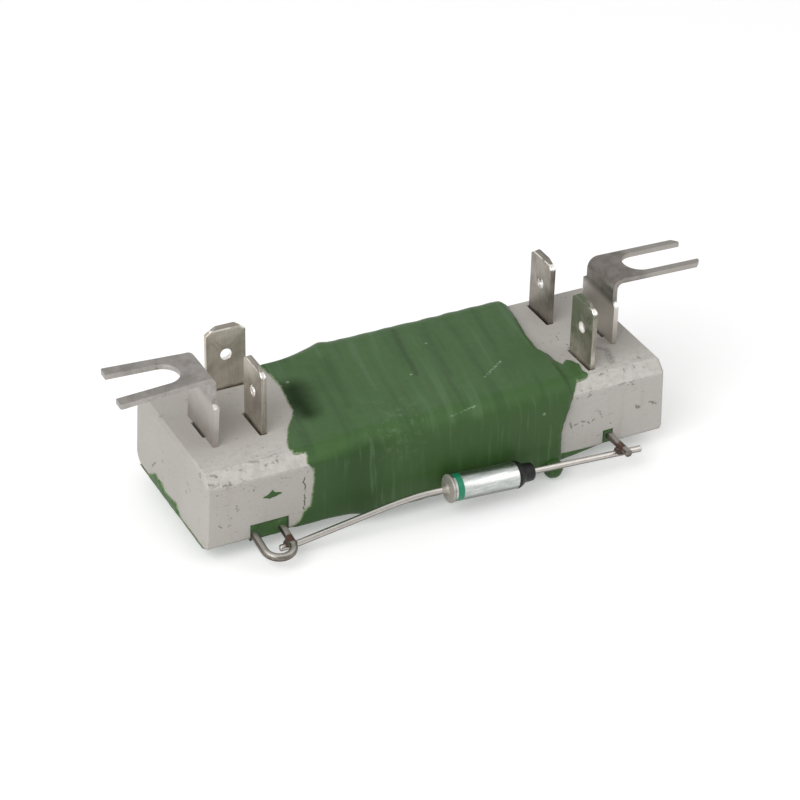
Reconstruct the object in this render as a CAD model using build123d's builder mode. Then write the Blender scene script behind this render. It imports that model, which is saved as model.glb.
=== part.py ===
from build123d import *
import os
from math import atan2, cos, pi, radians, sin, sqrt

# Wire-wound ceramic fan resistor: two fork terminals, four push-on tabs and a thermal fuse.
# Millimetres. Origin: middle of the ceramic block's underside. +X runs along the block towards
# the end with two side tabs, +Y away from the thermal fuse, +Z up through the terminals.

# Ceramic block
block_length = 75.8
block_width = 26.2
block_height = 12.15
end_draft = 0.5
top_chamfer = 1.75
front_edge_radius = 0.6
back_edge_radius = 2.4
end_chamfer = 0.5
pocket_depth = 3.07
pocket_corner = 1.5

# The block's ends and long faces, from which the pieces that it carries take their places
half_length = block_length / 2
half_width = block_width / 2
left_end = -half_length
right_end = half_length
front_face = -half_width
back_face = half_width

# Pockets in the underside: low and high x, low and high y
left_pocket = (left_end + 3.2, left_end + 17.3, front_face + 2.7, back_face - 2.2)
right_pocket = (right_end - 13.6, right_end - 3.0, front_face + 1.7, back_face - 1.7)

# Terminal sheet and how it sits in the block
sheet = 0.8
slot_gap = 0.32
slot_fit = 0.1
foot_clearance = 0.15
foot_bend = 0.3
foot_length = 3.0

# Push-on tabs: name, middle of the blade's near face (x, y), turn about Z, rise, side of the foot
tab_width = 6.3
tab_hole = 1.75
tab_hole_rise = 5.75
tab_tip_width = 3.1
tab_tip_drop = 1.2
tab_tip_bevel = 0.24
tab_tip_bevel_height = 1.0
tab_rise = 10.72
turned_tab_rise = 10.6
tabs = {
    "tab_left_front": ((left_end + 12.77, back_face - 5.03), 0.0, turned_tab_rise, -1),
    "tab_left_side": ((left_end + 12.26, -2.54), -90.0, tab_rise, -1),
    "tab_right_back": ((right_end - 11.17, back_face - 6.1), -90.0, tab_rise, 1),
    "tab_right_front": ((right_end - 11.95, front_face + 5.97), -90.0, tab_rise, 1),
}

# Fork terminals. The inset is from the block's end to the blade's inner face. Across the block (y)
# the blade's lower and upper parts have their own middles; spreads widen the slot and the outside
# towards the tips, which droop by some degrees.
fork_lower_width = 9.4
fork_width = 7.9
fork_slot = 5.3
fork_tang_width = 4.3
fork_tang_y = -0.6
fork_shoulder_slope = 0.6
fork_slot_root = 4.1
fork_spread_start = 1.9
forks = {
    "fork_left": {"side": -1, "inset": 5.4, "lean": 0.5, "bend": 0.5, "rise": 10.85, "droop": 0.0,
                  "lower_y": -1.2, "upper_y": -0.7, "slot_spread": 0.55, "outer_spread": 1.1,
                  "tip_cut": 0.2, "reach": 14.9, "back_reach": 14.0, "foot": 3.2,
                  "shoulder": 6.6, "back_shoulder": 6.6},
    "fork_right": {"side": 1, "inset": 5.3, "lean": 0.0, "bend": 0.9, "rise": 10.82, "droop": 1.6,
                   "lower_y": -0.6, "upper_y": -0.75, "slot_spread": 0.0, "outer_spread": 0.0,
                   "tip_cut": 0.8, "reach": 15.5, "back_reach": 15.5, "foot": 4.4,
                   "shoulder": 6.6, "back_shoulder": 7.0},
}

# Resistance winding
wire = 0.8
wire_flats = 8
wire_bed = 0.05
pitch = 3.7
turns = 9
first_turn = -11.9
left_tail_y = back_face - 6.6
left_tail_end = left_end + 10.5
left_tail_rise = left_end + 13.7
right_tail_y = back_face - 6.1
right_tail_end = right_end - 7.6
right_tail_rise = right_end - 12.9
tail_step = 2.2

# Cement sleeve and fill
crest_cover = 0.18
valley_cover = 0.08
thin_cover = 0.4
tail_cover = 0.2
left_edge = (-21.2, -18.0)
ramp_foot = (-19.4, -13.4)
right_rim = (20.3, 22.5)
right_edge = (20.9, 23.3)
right_edge_cover = 0.35
right_edge_lean = 6.5
sleeve_top_corner = 2.2
sleeve_top_chords = 5
sleeve_front_corner = 0.9
sleeve_back_corner = 2.2
sleeve_bottom_chords = 3
lobe_thickness = 0.4
lobe_front = front_face + 1.8
left_lobe = ((-17.9, 5.0), (-18.4, 1.9), (-19.0, -1.9), (-21.6, -5.8), (-22.8, -8.2), (-23.6, lobe_front))
left_lobe_root = ((-15.0, lobe_front), (-13.0, 5.0))
right_lobe = ((21.4, -2.7), (22.9, -5.0), (24.8, -8.0), (25.0, lobe_front))
right_lobe_root = ((18.0, lobe_front), (18.0, -2.7))
front_creep = (-23.0, -19.6, 2.7)
front_creep_thickness = 0.32
end_creep = ((-10.5, 0.4), (-4.6, 0.5), (-2.6, 1.9), (1.4, 1.3), (3.0, 2.1), (5.3, 2.2), (8.5, 0.3))
end_creep_thickness = 0.4
under_layer = 0.45
under_inset_front = 1.7
under_inset_back = 1.2
under_inset_end = 0.3
under_radius = 0.9
notch_recess = 0.3
bead_rings = ((-1.6, 0.5), (-1.2, 1.15), (-0.5, 1.6), (0.4, 1.6), (1.2, 1.1), (1.55, 0.5))
bead_sides = 12
bead_place = (18.1, front_face - 1.1, -0.95)

# Tap wires that carry the fuse
tap_wire = 1.2
tap_flats = 16
loop_chords = 9
loop_left = left_end + 7.7
loop_right = left_end + 12.1
loop_reach = 5.6
loop_bend_start = front_face + 5.1
loop_front_height = -0.15
loop_left_inner = 1.2
loop_right_inner = -3.0
pin_x = right_end - 9.6
pin_reach = 6.1
pin_level = front_face + 2.5
pin_rise = 0.3
pin_inner = 1.2
pin_chamfer = 0.25
weld_gap = 0.03

# Room that the notches in the block's front leave round the wires: low side, high side, above
loop_room = (0.65, 1.05, 0.46)
pin_room = (1.1, 0.7, 0.56)
weld_rings = ((-0.8, 0.5), (-0.35, 0.9), (0.35, 0.9), (0.75, 0.5))
weld_sides = 8

# Thermal fuse
fuse_radius = 2.0
fuse_length = 12.0
fuse_x = -1.05
fuse_y = front_face - 3.62
fuse_z = 2.48
lead_wire = 1.0
lead_flats = 16
lead_right_end = pin_x + 3.5
lead_left_corner = 3.9
lead_left_dip = (-9.4, front_face - 3.28, 2.11)
lead_left_y = front_face - 2.55
lead_left_end = loop_right - 1.6
lead_left_flat = 2.6
case_wall = 0.3
case_end = 0.5
case_neck_radius = 1.15
case_neck_end_radius = 0.75
case_neck_length = 1.2
case_crimp = 0.35
head_radius = 0.95
head_thickness = 0.4
pellet_length = 2.9
disc_thickness = 0.25
disc_fit = 0.12
spring_wire = 0.4
spring_radius = 1.2
spring_turns = 2.5
spring_height = 2.0
spring_steps = 12
spring_flats = 6
star_thickness = 0.25
star_notches = 6
star_notch_depth = 0.7
star_notch_width = 0.5
trip_wire = 0.3
trip_radius = 1.0
trip_turns = 2.5
bushing_length = 2.2
seal_collar_radius = 1.7
seal_collar = 0.8
seal_nose_radius = 1.25
seal_nose = 1.6
seal_tip_radius = 1.0
fuse_fit = 0.03

# Heights and notches that several pieces share: a notch's low x, high x and height
foot_top = pocket_depth - foot_clearance
foot_middle = foot_top - sheet / 2
tap_height = foot_top - sheet - tap_wire / 2 - weld_gap
wire_offset = wire / 2 + wire_bed
left_notch = (loop_left - loop_room[0], loop_right + loop_room[1], tap_height + tap_wire / 2 + loop_room[2])
right_notch = (pin_x - pin_room[0], pin_x + pin_room[1], tap_height + tap_wire / 2 + pin_room[2])


def sheet_strip(plane, path, radii, width):
    """Folded strip of terminal sheet: a side-view path thickened and drawn out across its width."""
    with BuildPart(mode=Mode.PRIVATE) as strip:
        with BuildSketch(plane):
            with BuildLine() as middle:
                FilletPolyline(*path, radius=radii)
            trace(middle.line, line_width=sheet)
        extrude(amount=width / 2, both=True)
    return strip.part


def wire_run(points, thickness, flats):
    """Wire along straight runs with mitred bends; its round section is drawn with short flats."""
    with BuildPart(mode=Mode.PRIVATE) as run:
        with BuildLine() as path:
            Polyline(*points)
        with BuildSketch(Plane(origin=path.line @ 0, z_dir=path.line % 0)):
            RegularPolygon(thickness / 2, flats, major_radius=False)
        sweep(path=path.line, transition=Transition.RIGHT)
    return run.part


def round_lump(place, rings, sides):
    """Lump of (height, radius) rings round a vertical line."""
    with BuildPart(mode=Mode.PRIVATE) as lump:
        for height, radius in rings:
            with BuildSketch(Plane(origin=place).offset(height)):
                RegularPolygon(radius, sides)
        loft(ruled=True)
    return lump.part


# Push-on tabs: a blade through the block, bent over under its web, pierced and bevelled at the tip
tab_parts = {}
tab_planes = {}
for name, (place, turn, rise, side) in tabs.items():
    front_view = Plane(origin=(*place, 0), x_dir=(cos(radians(turn)), sin(radians(turn)), 0),
                       z_dir=(0, 0, 1))
    side_view = Plane(origin=front_view.origin, x_dir=front_view.y_dir, z_dir=front_view.x_dir)
    broad_view = Plane(origin=front_view.origin, x_dir=front_view.x_dir, z_dir=-front_view.y_dir)
    tip = block_height + rise
    path = [(sheet / 2 + side * foot_length, foot_middle), (sheet / 2, foot_middle), (sheet / 2, tip)]
    with BuildPart() as tab:
        add(sheet_strip(side_view, path, [foot_bend + sheet / 2], tab_width))
        with BuildSketch(broad_view):
            Polygon((-tab_width / 2, 0), (tab_width / 2, 0), (tab_width / 2, tip - tab_tip_drop),
                    (tab_tip_width / 2, tip), (-tab_tip_width / 2, tip),
                    (-tab_width / 2, tip - tab_tip_drop), align=None)
        extrude(amount=2 * foot_length, both=True, mode=Mode.INTERSECT)
        with BuildSketch(broad_view):
            with Locations((0, block_height + tab_hole_rise)):
                Circle(tab_hole / 2)
        extrude(amount=2 * sheet, both=True, mode=Mode.SUBTRACT)
        with BuildSketch(side_view):
            Polygon((0, tip - tab_tip_bevel_height), (tab_tip_bevel, tip), (0, tip), align=None)
            Polygon((sheet, tip - tab_tip_bevel_height), (sheet - tab_tip_bevel, tip), (sheet, tip),
                    align=None)
        extrude(amount=tab_width, both=True, mode=Mode.SUBTRACT)
    tab.part.label = name
    tab_parts[name] = tab.part
    tab_planes[name] = front_view

# Fork terminals: tang and foot below the shoulders, a stepped riser, and a slotted plate on top
fork_parts = {}
for name, fork_sizes in forks.items():
    side = fork_sizes["side"]
    inner = half_length - fork_sizes["inset"]
    lower_y = fork_sizes["lower_y"]
    upper_y = fork_sizes["upper_y"]
    slot_spread = fork_sizes["slot_spread"]
    outer_spread = fork_sizes["outer_spread"]
    tip_cut = fork_sizes["tip_cut"]
    plate_top = block_height + fork_sizes["rise"]
    plate_inner = inner - fork_sizes["lean"]
    root_x = fork_slot_root + fork_slot / 2
    droop = radians(fork_sizes["droop"])
    tip_x = fork_sizes["reach"]
    back_tip_x = fork_sizes["back_reach"]
    shoulder = block_height + fork_sizes["shoulder"]
    back_shoulder = block_height + fork_sizes["back_shoulder"]
    half_fork = fork_width / 2
    side_view = Plane(origin=(0, 0, 0), x_dir=(side, 0, 0), z_dir=(0, -side, 0))
    plate_view = Plane(origin=(side * plate_inner, upper_y, plate_top),
                       x_dir=(side * cos(droop), 0, -sin(droop)), z_dir=(sin(droop), 0, side * cos(droop)))
    plate_line = [(plate_inner + along * cos(droop) - sheet / 2 * sin(droop),
                   plate_top - along * sin(droop) - sheet / 2 * cos(droop))
                  for along in (sheet / 2, fork_spread_start)]
    path = [(inner - fork_sizes["foot"], foot_middle), (inner + sheet / 2, foot_middle),
            (inner + sheet / 2, block_height), *plate_line]
    radii = [foot_bend + sheet / 2, 0, fork_sizes["bend"] + sheet / 2]
    with BuildPart() as fork:
        add(sheet_strip(side_view, path, radii, 4 * fork_lower_width))
        with BuildSketch(Plane.YZ):
            Polygon((fork_tang_y - fork_tang_width / 2, 0), (fork_tang_y + fork_tang_width / 2, 0),
                    (fork_tang_y + fork_tang_width / 2, block_height),
                    (lower_y + fork_lower_width / 2, block_height),
                    (lower_y + fork_lower_width / 2, back_shoulder),
                    (upper_y + half_fork, back_shoulder + fork_shoulder_slope),
                    (upper_y + half_fork, plate_top + sheet), (upper_y - half_fork, plate_top + sheet),
                    (upper_y - half_fork, shoulder + fork_shoulder_slope),
                    (lower_y - fork_lower_width / 2, shoulder),
                    (lower_y - fork_lower_width / 2, block_height),
                    (fork_tang_y - fork_tang_width / 2, block_height), align=None)
        extrude(amount=block_length, both=True, mode=Mode.INTERSECT)
        with BuildSketch(plate_view):
            Polygon((fork_spread_start, -half_fork), (tip_x - tip_cut, -half_fork - outer_spread),
                    (tip_x, -half_fork - outer_spread + tip_cut), (tip_x, 0), (back_tip_x, 0),
                    (back_tip_x, half_fork + outer_spread - tip_cut),
                    (back_tip_x - tip_cut, half_fork + outer_spread), (fork_spread_start, half_fork),
                    align=None)
        extrude(amount=-side * sheet)
        with BuildSketch(plate_view):
            with Locations((root_x, 0)):
                Circle(fork_slot / 2)
            Polygon((root_x, -fork_slot / 2), (tip_x, -fork_slot / 2 - slot_spread),
                    (tip_x + sheet, -fork_slot / 2 - slot_spread),
                    (tip_x + sheet, fork_slot / 2 + slot_spread),
                    (tip_x, fork_slot / 2 + slot_spread), (root_x, fork_slot / 2), align=None)
        extrude(amount=2 * sheet, both=True, mode=Mode.SUBTRACT)
    fork.part.label = name
    fork_parts[name] = fork.part

# Ceramic block: chamfered bar with pockets below, wire notches in front and a slot per terminal
with BuildPart() as ceramic_core:
    with BuildSketch(Plane.YZ) as block_section:
        Polygon((-half_width, 0), (half_width, 0), (half_width, block_height - top_chamfer),
                (half_width - top_chamfer, block_height), (-half_width + top_chamfer, block_height),
                (-half_width, block_height - top_chamfer), align=None)
        fillet(block_section.vertices().group_by(Axis.Y)[0].sort_by(Axis.X)[0], front_edge_radius)
        fillet(block_section.vertices().group_by(Axis.Y)[0].sort_by(Axis.X)[-1], back_edge_radius)
    extrude(amount=block_length, both=True)
    with BuildSketch(Plane.XZ):
        Polygon((-half_length, 0), (half_length, 0), (half_length - end_draft, block_height),
                (-half_length + end_draft, block_height), align=None)
    extrude(amount=block_width, both=True, mode=Mode.INTERSECT)
    end_faces = ceramic_core.faces().sort_by(Axis.X)
    chamfer(end_faces[0].edges() + end_faces[-1].edges(), length=end_chamfer)
    for low_x, high_x, low_y, high_y in (left_pocket, right_pocket):
        with BuildSketch(Plane(origin=((low_x + high_x) / 2, (low_y + high_y) / 2, 0))):
            RectangleRounded(high_x - low_x, high_y - low_y, pocket_corner)
        extrude(amount=pocket_depth, mode=Mode.SUBTRACT)
    for low_x, high_x, height in (left_notch, right_notch):
        with BuildSketch(Plane.XZ.offset(half_width)):
            with Locations(((low_x + high_x) / 2, height / 2)):
                Rectangle(high_x - low_x, height)
        extrude(amount=-half_width / 2, mode=Mode.SUBTRACT)
    for front_view in tab_planes.values():
        with BuildSketch(front_view):
            with Locations((0, (sheet + slot_fit - slot_gap) / 2)):
                Rectangle(tab_width + 2 * slot_fit, sheet + slot_fit + slot_gap)
        extrude(amount=block_height, mode=Mode.SUBTRACT)
    for fork_sizes in forks.values():
        side = fork_sizes["side"]
        inner = half_length - fork_sizes["inset"]
        slot_low = inner - (slot_gap if side > 0 else slot_fit)
        slot_high = inner + sheet + (slot_fit if side > 0 else slot_gap)
        with BuildSketch(Plane.XY):
            with Locations((side * (slot_low + slot_high) / 2, fork_tang_y)):
                Rectangle(slot_high - slot_low, fork_tang_width + 2 * slot_fit)
        extrude(amount=block_height, mode=Mode.SUBTRACT)
ceramic_core.part.label = "ceramic_core"


def turn_corners(x):
    """Corner points of one turn: up the front at x, slanting over the top, down the back."""
    front = -half_width - wire_offset
    back = half_width + wire_offset
    top = block_height + wire_offset
    shoulder = top_chamfer + wire_offset * (2 - sqrt(2))
    front_cut = (2 - sqrt(2)) * (front_edge_radius + wire_offset)
    back_cut = (2 - sqrt(2)) * (back_edge_radius + wire_offset)
    return [
        (x, front + front_cut, -wire_offset), (x, front, front_cut - wire_offset),
        (x, front, top - shoulder), (x, front + shoulder, top),
        (x + pitch, back - shoulder, top), (x + pitch, back, top - shoulder),
        (x + pitch, back, back_cut - wire_offset), (x + pitch, back - back_cut, -wire_offset),
    ]


# Resistance winding: round wire whose ends run under the block to a left and a right tab's foot
tail_z = foot_top - sheet - wire / 2 - weld_gap
turn_places = [first_turn + i * pitch for i in range(turns)]
left_tail = [(left_tail_end, left_tail_y, tail_z), (left_tail_rise, left_tail_y, tail_z),
             (left_tail_rise + tail_step, left_tail_y, -wire_offset),
             (first_turn, left_tail_y, -wire_offset)]
right_tail = [(first_turn + turns * pitch, right_tail_y, -wire_offset),
              (right_tail_rise, right_tail_y, -wire_offset),
              (right_tail_rise + tail_step, right_tail_y, tail_z), (right_tail_end, right_tail_y, tail_z)]
wire_points = list(left_tail)
for x in turn_places:
    wire_points += turn_corners(x)
wire_points += right_tail
with BuildPart() as resistance_winding:
    add(wire_run(wire_points, wire, wire_flats))
resistance_winding.part.label = "resistance_winding"

# Tap loop: a hairpin of wire out of the left notch, sloping gently down in front of the block
loop_front = -half_width - loop_reach
loop_drop = tap_height - loop_front_height
loop_radius = (loop_right - loop_left) / 2
loop_slope = Vector(0, loop_front - loop_bend_start, -loop_drop).normalized()
loop_middle = Vector((loop_left + loop_right) / 2, loop_front, loop_front_height) - loop_radius * loop_slope
loop_points = [(loop_left, loop_left_inner, tap_height), (loop_left, loop_bend_start, tap_height)]
for step in range(loop_chords + 1):
    angle = pi * step / loop_chords
    loop_points.append(loop_middle - Vector(loop_radius * cos(angle), 0, 0)
                       + loop_radius * sin(angle) * loop_slope)
loop_points += [(loop_right, loop_bend_start, tap_height), (loop_right, loop_right_inner, tap_height)]
with BuildPart() as tap_loop:
    add(wire_run(loop_points, tap_wire, tap_flats))
tap_loop.part.label = "tap_loop"

# Tap pin: a straight wire out of the right notch
with BuildPart() as tap_pin:
    add(wire_run([(pin_x, pin_inner, tap_height), (pin_x, pin_level, tap_height),
                  (pin_x, -half_width - pin_reach, tap_height + pin_rise)], tap_wire, tap_flats))
    chamfer(tap_pin.edges().group_by(Axis.Y)[0], length=pin_chamfer)
tap_pin.part.label = "tap_pin"

# Thermal fuse: its axis runs from the case's left rim to the crossing under the tap pin
crossing_drop = tap_wire / 2 + lead_wire / 2 + weld_gap
fuse_start = Vector(fuse_x, fuse_y, fuse_z)
pin_slope = pin_rise / (pin_level + half_width + pin_reach)
pin_crossing = Vector(pin_x, fuse_y, tap_height + pin_slope * (pin_level - fuse_y) - crossing_drop)
along = (pin_crossing - fuse_start).normalized()
fuse_plane = Plane(origin=fuse_start, x_dir=along, z_dir=along.cross(Vector(0, 0, 1)))
fuse_axis = Axis(origin=fuse_start, direction=along)


def turned(outline):
    """Solid of revolution about the fuse's axis from (distance along, radius) points."""
    with BuildPart(mode=Mode.PRIVATE) as piece:
        with BuildSketch(fuse_plane):
            Polygon(*outline, align=None)
        revolve(axis=fuse_axis)
    return piece.part


lead_radius = lead_wire / 2
inner_radius = fuse_radius - case_wall
stack = case_end + head_thickness + fuse_fit
pellet_at = stack + fuse_fit
first_disc_at = pellet_at + pellet_length + fuse_fit
spring_at = first_disc_at + disc_thickness + fuse_fit
second_disc_at = spring_at + spring_height + fuse_fit
star_at = second_disc_at + disc_thickness + fuse_fit
trip_at = star_at + star_thickness + fuse_fit
bushing_at = fuse_length - case_crimp - bushing_length - fuse_fit
trip_height = bushing_at - trip_at - fuse_fit

with BuildPart() as fuse_case:
    add(turned([(-case_neck_length, lead_radius + fuse_fit), (-case_neck_length, case_neck_end_radius),
                (0, case_neck_radius), (0, fuse_radius - case_wall), (case_wall, fuse_radius),
                (fuse_length - case_wall, fuse_radius), (fuse_length, fuse_radius - case_wall),
                (fuse_length, seal_collar_radius), (fuse_length - case_crimp, seal_collar_radius),
                (fuse_length - case_crimp - fuse_fit, inner_radius), (case_end, inner_radius),
                (case_end, lead_radius + fuse_fit)]))
fuse_case.part.label = "fuse_case"

# Case lead: headed inside the closed end, then bent down to cross under the tap loop
left_crossing_z = (tap_height - loop_drop * (loop_bend_start - lead_left_y)
                   / (loop_bend_start - loop_front) - crossing_drop)
lead_start = fuse_plane.from_local_coords(Vector(case_end + head_thickness / 2, 0, 0))
lead_corner = fuse_plane.from_local_coords(Vector(-lead_left_corner, 0, 0))
with BuildPart() as fuse_lead_case:
    add(wire_run([lead_start, lead_corner, lead_left_dip,
                  (lead_left_end + lead_left_flat, lead_left_y, left_crossing_z),
                  (lead_left_end, lead_left_y, left_crossing_z)], lead_wire, lead_flats))
    add(turned([(case_end, 0), (case_end, head_radius), (case_end + head_thickness, head_radius),
                (case_end + head_thickness, 0)]))
fuse_lead_case.part.label = "fuse_lead_case"

with BuildPart() as fuse_pellet:
    pellet_radius = inner_radius - fuse_fit
    add(turned([(pellet_at, 0), (pellet_at, pellet_radius), (pellet_at + pellet_length, pellet_radius),
                (pellet_at + pellet_length, 0)]))
fuse_pellet.part.label = "fuse_pellet"


def disc(start, thickness, radius):
    """Plain round disc on the fuse's axis."""
    return turned([(start, 0), (start, radius), (start + thickness, radius), (start + thickness, 0)])


with BuildPart() as fuse_disc_pellet:
    add(disc(first_disc_at, disc_thickness, inner_radius - disc_fit))
fuse_disc_pellet.part.label = "fuse_disc_pellet"

with BuildPart() as fuse_disc_contact:
    add(disc(second_disc_at, disc_thickness, inner_radius - disc_fit))
fuse_disc_contact.part.label = "fuse_disc_contact"


def coil(start, height, radius, thickness, count):
    """Open coil spring on the fuse's axis, its helix followed in short straight steps."""
    steps = round(count * spring_steps)
    helix = []
    for step in range(steps + 1):
        angle = 2 * pi * count * step / steps
        rise = start + thickness / 2 + (height - thickness) * step / steps
        helix.append(fuse_plane.from_local_coords(
            Vector(rise, radius * cos(angle), radius * sin(angle))))
    return wire_run(helix, thickness - fuse_fit, spring_flats)


with BuildPart() as fuse_compression_spring:
    add(coil(spring_at, spring_height, spring_radius, spring_wire, spring_turns))
fuse_compression_spring.part.label = "fuse_compression_spring"

# Star contact: a thin disc with a notched rim that wipes the case wall
with BuildPart() as fuse_star_contact:
    add(disc(star_at, star_thickness, inner_radius - fuse_fit))
    with BuildSketch(Plane(origin=fuse_plane.from_local_coords(Vector(star_at, 0, 0)), z_dir=along)):
        with PolarLocations(inner_radius, star_notches):
            Rectangle(star_notch_depth, star_notch_width)
    extrude(amount=2 * star_thickness, both=True, mode=Mode.SUBTRACT)
fuse_star_contact.part.label = "fuse_star_contact"

with BuildPart() as fuse_trip_spring:
    add(coil(trip_at, trip_height, trip_radius, trip_wire, trip_turns))
fuse_trip_spring.part.label = "fuse_trip_spring"

# Insulating bushing: guides the isolated lead and closes the case's open end
with BuildPart() as fuse_bushing:
    bushing_end = bushing_at + bushing_length
    add(turned([(bushing_at, lead_radius + fuse_fit), (bushing_at, inner_radius - fuse_fit),
                (bushing_end, inner_radius - fuse_fit), (bushing_end, lead_radius + fuse_fit)]))
fuse_bushing.part.label = "fuse_bushing"

# Isolated lead: from the star contact straight out to the tap pin
with BuildPart() as fuse_lead_isolated:
    lead_tip = fuse_plane.from_local_coords(Vector(star_at + star_thickness + fuse_fit, 0, 0))
    lead_end = fuse_start + along * ((lead_right_end - fuse_x) / along.X)
    add(wire_run([lead_tip, lead_end], lead_wire, lead_flats))
fuse_lead_isolated.part.label = "fuse_lead_isolated"

# Epoxy seal: collar in the crimped mouth and a nose round the lead
with BuildPart() as fuse_seal:
    collar_end = fuse_length + seal_collar
    add(turned([(bushing_at + bushing_length + fuse_fit, lead_radius + fuse_fit),
                (bushing_at + bushing_length + fuse_fit, seal_collar_radius - fuse_fit),
                (collar_end, seal_collar_radius - fuse_fit), (collar_end, seal_nose_radius),
                (collar_end + seal_nose, seal_tip_radius),
                (collar_end + seal_nose, lead_radius + fuse_fit)]))
fuse_seal.part.label = "fuse_seal"

# Weld beads: small lumps of melted metal where each lead crosses a tap wire
with BuildPart() as weld_left:
    add(round_lump((loop_right, lead_left_y, left_crossing_z + lead_radius), weld_rings, weld_sides))
    add(tap_loop.part, mode=Mode.SUBTRACT)
    add(fuse_lead_case.part, mode=Mode.SUBTRACT)
weld_left.part.label = "weld_left"

with BuildPart() as weld_right:
    add(round_lump((pin_x, fuse_y, pin_crossing.Z + lead_radius), weld_rings, weld_sides))
    add(tap_pin.part, mode=Mode.SUBTRACT)
    add(fuse_lead_isolated.part, mode=Mode.SUBTRACT)
weld_right.part.label = "weld_right"

# Cement: a ridged sleeve over the winding, the underside layer, the pocket fill and one hung bead


def ring_plane(front_x, back_x, lean):
    """Upright plane across the sleeve from front_x to back_x, its top leaning by some degrees to +X."""
    slant = atan2(back_x - front_x, block_width)
    tip = radians(lean)
    return Plane(origin=((front_x + back_x) / 2, 0, block_height / 2), x_dir=(sin(slant), cos(slant), 0),
                 z_dir=(cos(slant) * cos(tip), -sin(slant) * cos(tip), -sin(tip)))


def ring_outline(front_x, back_x, cover):
    """Outline of the sleeve at one ring, with its corners rounded in short chords."""
    stretch = 1 / cos(atan2(back_x - front_x, block_width))
    corners = ((1, -1, sleeve_back_corner, sleeve_bottom_chords),
               (1, 1, sleeve_top_corner, sleeve_top_chords),
               (-1, 1, sleeve_top_corner, sleeve_top_chords),
               (-1, -1, sleeve_front_corner, sleeve_bottom_chords))
    outline = []
    for quarter, (across, up, corner, chords) in enumerate(corners):
        centre_across = across * (half_width - corner) * stretch
        centre_up = up * (block_height / 2 - corner)
        for step in range(chords + 1):
            angle = radians(90 * (quarter - 1 + step / chords))
            outline.append((centre_across + (corner + cover) * cos(angle),
                            centre_up + (corner + cover) * sin(angle)))
    return outline


crest = wire + wire_bed + crest_cover
valley = wire + wire_bed + valley_cover
rings = [(*left_edge, thin_cover, 0), (*ramp_foot, thin_cover, 0)]
for x in turn_places:
    rings.append((x, x + pitch, crest, 0))
    if x < turn_places[-1]:
        rings.append((x + pitch / 2, x + pitch * 3 / 2, valley, 0))
rings.append((*right_rim, valley, right_edge_lean))
rings.append((*right_edge, right_edge_cover, right_edge_lean))
with BuildPart() as cement_coating:
    for front_x, back_x, cover, lean in rings:
        with BuildSketch(ring_plane(front_x, back_x, lean)):
            Polygon(*ring_outline(front_x, back_x, cover), align=None)
    loft(ruled=True)
    with BuildSketch(Plane.XY.offset(block_height)):
        for edge_points, root_points in ((left_lobe, left_lobe_root), (right_lobe, right_lobe_root)):
            with BuildLine():
                Spline(*edge_points)
                Polyline(edge_points[-1], *root_points, edge_points[0])
            make_face()
    extrude(amount=lobe_thickness)
    low_x, high_x, height = front_creep
    with BuildSketch(Plane.XZ.offset(half_width)):
        with Locations(((low_x + high_x) / 2, (height - under_layer) / 2)):
            Rectangle(high_x - low_x, height + under_layer)
    extrude(amount=front_creep_thickness)
    with BuildSketch(Plane.YZ.offset(-half_length - end_creep_thickness)):
        Polygon((end_creep[0][0], -under_layer), *end_creep, (end_creep[-1][0], -under_layer), align=None)
    extrude(amount=end_creep_thickness + end_draft + end_chamfer)
    under_length = block_length - 2 * under_inset_end
    under_width = block_width - under_inset_front - under_inset_back
    with BuildSketch(Plane.XY.offset(-under_layer)):
        with Locations((0, (under_inset_front - under_inset_back) / 2)):
            RectangleRounded(under_length, under_width, 2 * under_radius)
    extrude(amount=under_layer)
    for low_x, high_x, low_y, high_y in (left_pocket, right_pocket):
        with BuildSketch(Plane(origin=((low_x + high_x) / 2, (low_y + high_y) / 2, 0))):
            RectangleRounded(high_x - low_x, high_y - low_y, pocket_corner)
        extrude(amount=pocket_depth)
    for low_x, high_x, height in (left_notch, right_notch):
        with BuildSketch(Plane.XZ.offset(half_width - notch_recess)):
            with Locations(((low_x + high_x) / 2, (height - under_layer) / 2)):
                Rectangle(high_x - low_x, height + under_layer)
        extrude(amount=-half_width / 2)
    for tail in (left_tail, right_tail):
        add(wire_run(tail, wire + 2 * tail_cover, wire_flats))
    add(round_lump(bead_place, bead_rings, bead_sides))
    add(ceramic_core.part, mode=Mode.SUBTRACT)
    add(resistance_winding.part, mode=Mode.SUBTRACT)
    add(tap_loop.part, mode=Mode.SUBTRACT)
    add(tap_pin.part, mode=Mode.SUBTRACT)
    for terminal in (*tab_parts.values(), *fork_parts.values()):
        add(terminal, mode=Mode.SUBTRACT)
cement_coating.part.label = "cement_coating"

os.makedirs("parts", exist_ok=True)
for name, terminal in {**tab_parts, **fork_parts}.items():
    export_step(terminal, f"parts/{name}.step")
export_step(ceramic_core.part, "parts/ceramic_core.step")
export_step(resistance_winding.part, "parts/resistance_winding.step")
export_step(cement_coating.part, "parts/cement_coating.step")
export_step(tap_loop.part, "parts/tap_loop.step")
export_step(tap_pin.part, "parts/tap_pin.step")
export_step(weld_left.part, "parts/weld_left.step")
export_step(weld_right.part, "parts/weld_right.step")
export_step(fuse_case.part, "parts/fuse_case.step")
export_step(fuse_lead_case.part, "parts/fuse_lead_case.step")
export_step(fuse_lead_isolated.part, "parts/fuse_lead_isolated.step")
export_step(fuse_pellet.part, "parts/fuse_pellet.step")
export_step(fuse_disc_pellet.part, "parts/fuse_disc_pellet.step")
export_step(fuse_disc_contact.part, "parts/fuse_disc_contact.step")
export_step(fuse_compression_spring.part, "parts/fuse_compression_spring.step")
export_step(fuse_star_contact.part, "parts/fuse_star_contact.step")
export_step(fuse_trip_spring.part, "parts/fuse_trip_spring.step")
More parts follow.
